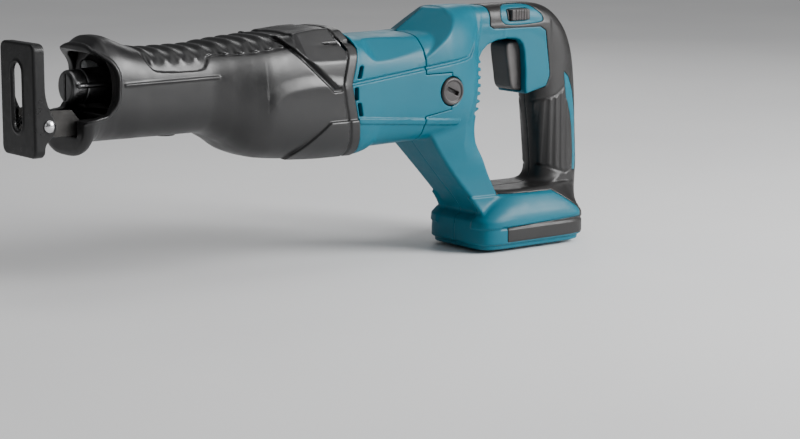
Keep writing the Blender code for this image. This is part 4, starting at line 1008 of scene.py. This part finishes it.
def finish_kept_nodes():
    """Gives the inner parts, which keep their CAD shape, their materials."""
    for look, names in KEPT.items():
        for name in names:
            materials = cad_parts[name].data.materials
            materials.clear()
            materials.append(look)


# ---------------------------------------------------------------- floor, light and camera


def make_stage():
    bpy.ops.mesh.primitive_plane_add(size=14, location=(0, 2.0, 0))
    floor = bpy.context.object
    floor.name = "studio_floor"
    look = Look("pale_floor", 0.7)
    look.colour(look.mixed(look.spread(look.noise(300, 3), 0, 1), (0.8, 0.8, 0.8), (0.76, 0.76, 0.765)))
    floor.data.materials.append(look.material)


def softbox(name, place_at, size, power):
    """A white rectangle of light that faces the saw."""
    light = bpy.data.lights.new(name, "AREA")
    light.shape = "RECTANGLE"
    light.size, light.size_y = size
    light.energy = power
    made = bpy.data.objects.new(name, light)
    bpy.context.scene.collection.objects.link(made)
    made.location = place_at
    made.rotation_euler = (Vector(LIGHT_TARGET) - Vector(place_at)).to_track_quat("-Z", "Y").to_euler()


def make_lights():
    softbox("key_box", (1.0, -1.15, 0.8), (0.8, 0.9), 46)
    softbox("left_box", (-1.5, -1.3, 0.9), (0.7, 1.0), 2)
    softbox("top_box", (-0.1, 0.0, 1.6), (1.4, 0.7), 4)
    softbox("rear_strip", (0.9, 1.0, 0.9), (0.3, 1.2), 2)
    far = bpy.data.objects.new("far_light", bpy.data.lights.new("far_light", "SUN"))
    far.data.energy, far.data.angle = 0.7, math.radians(60)
    far.rotation_euler = (math.radians(28), math.radians(22), 0)
    bpy.context.scene.collection.objects.link(far)
    world = bpy.data.worlds.new("studio")
    world.use_nodes = True
    world.node_tree.nodes["Background"].inputs["Color"].default_value = (0.95, 0.96, 0.98, 1)
    world.node_tree.nodes["Background"].inputs["Strength"].default_value = 0.15
    bpy.context.scene.world = world


def make_camera():
    azimuth, elevation = math.radians(CAMERA_AZIMUTH), math.radians(CAMERA_ELEVATION)
    back = Vector((
        math.sin(azimuth) * math.cos(elevation), -math.cos(azimuth) * math.cos(elevation), math.sin(elevation)
    ))
    camera = bpy.data.cameras.new("camera")
    camera.sensor_width = 36
    camera.lens = CAMERA_LENS
    camera.clip_start = 0.01
    made = bpy.data.objects.new("camera", camera)
    bpy.context.scene.collection.objects.link(made)
    made.location = CAMERA_AT
    made.rotation_euler = back.to_track_quat("Z", "Y").to_euler()
    bpy.context.scene.camera = made


make_camera()
make_lights()
make_stage()
make_boot()
make_collar()
make_motor_housing()
make_handle()
make_brush_caps()
make_trigger()
make_lock_button()
make_shoe()
make_rivet()
make_clamp()
make_lamp()
make_latch_button()
make_screws()
finish_kept_nodes()
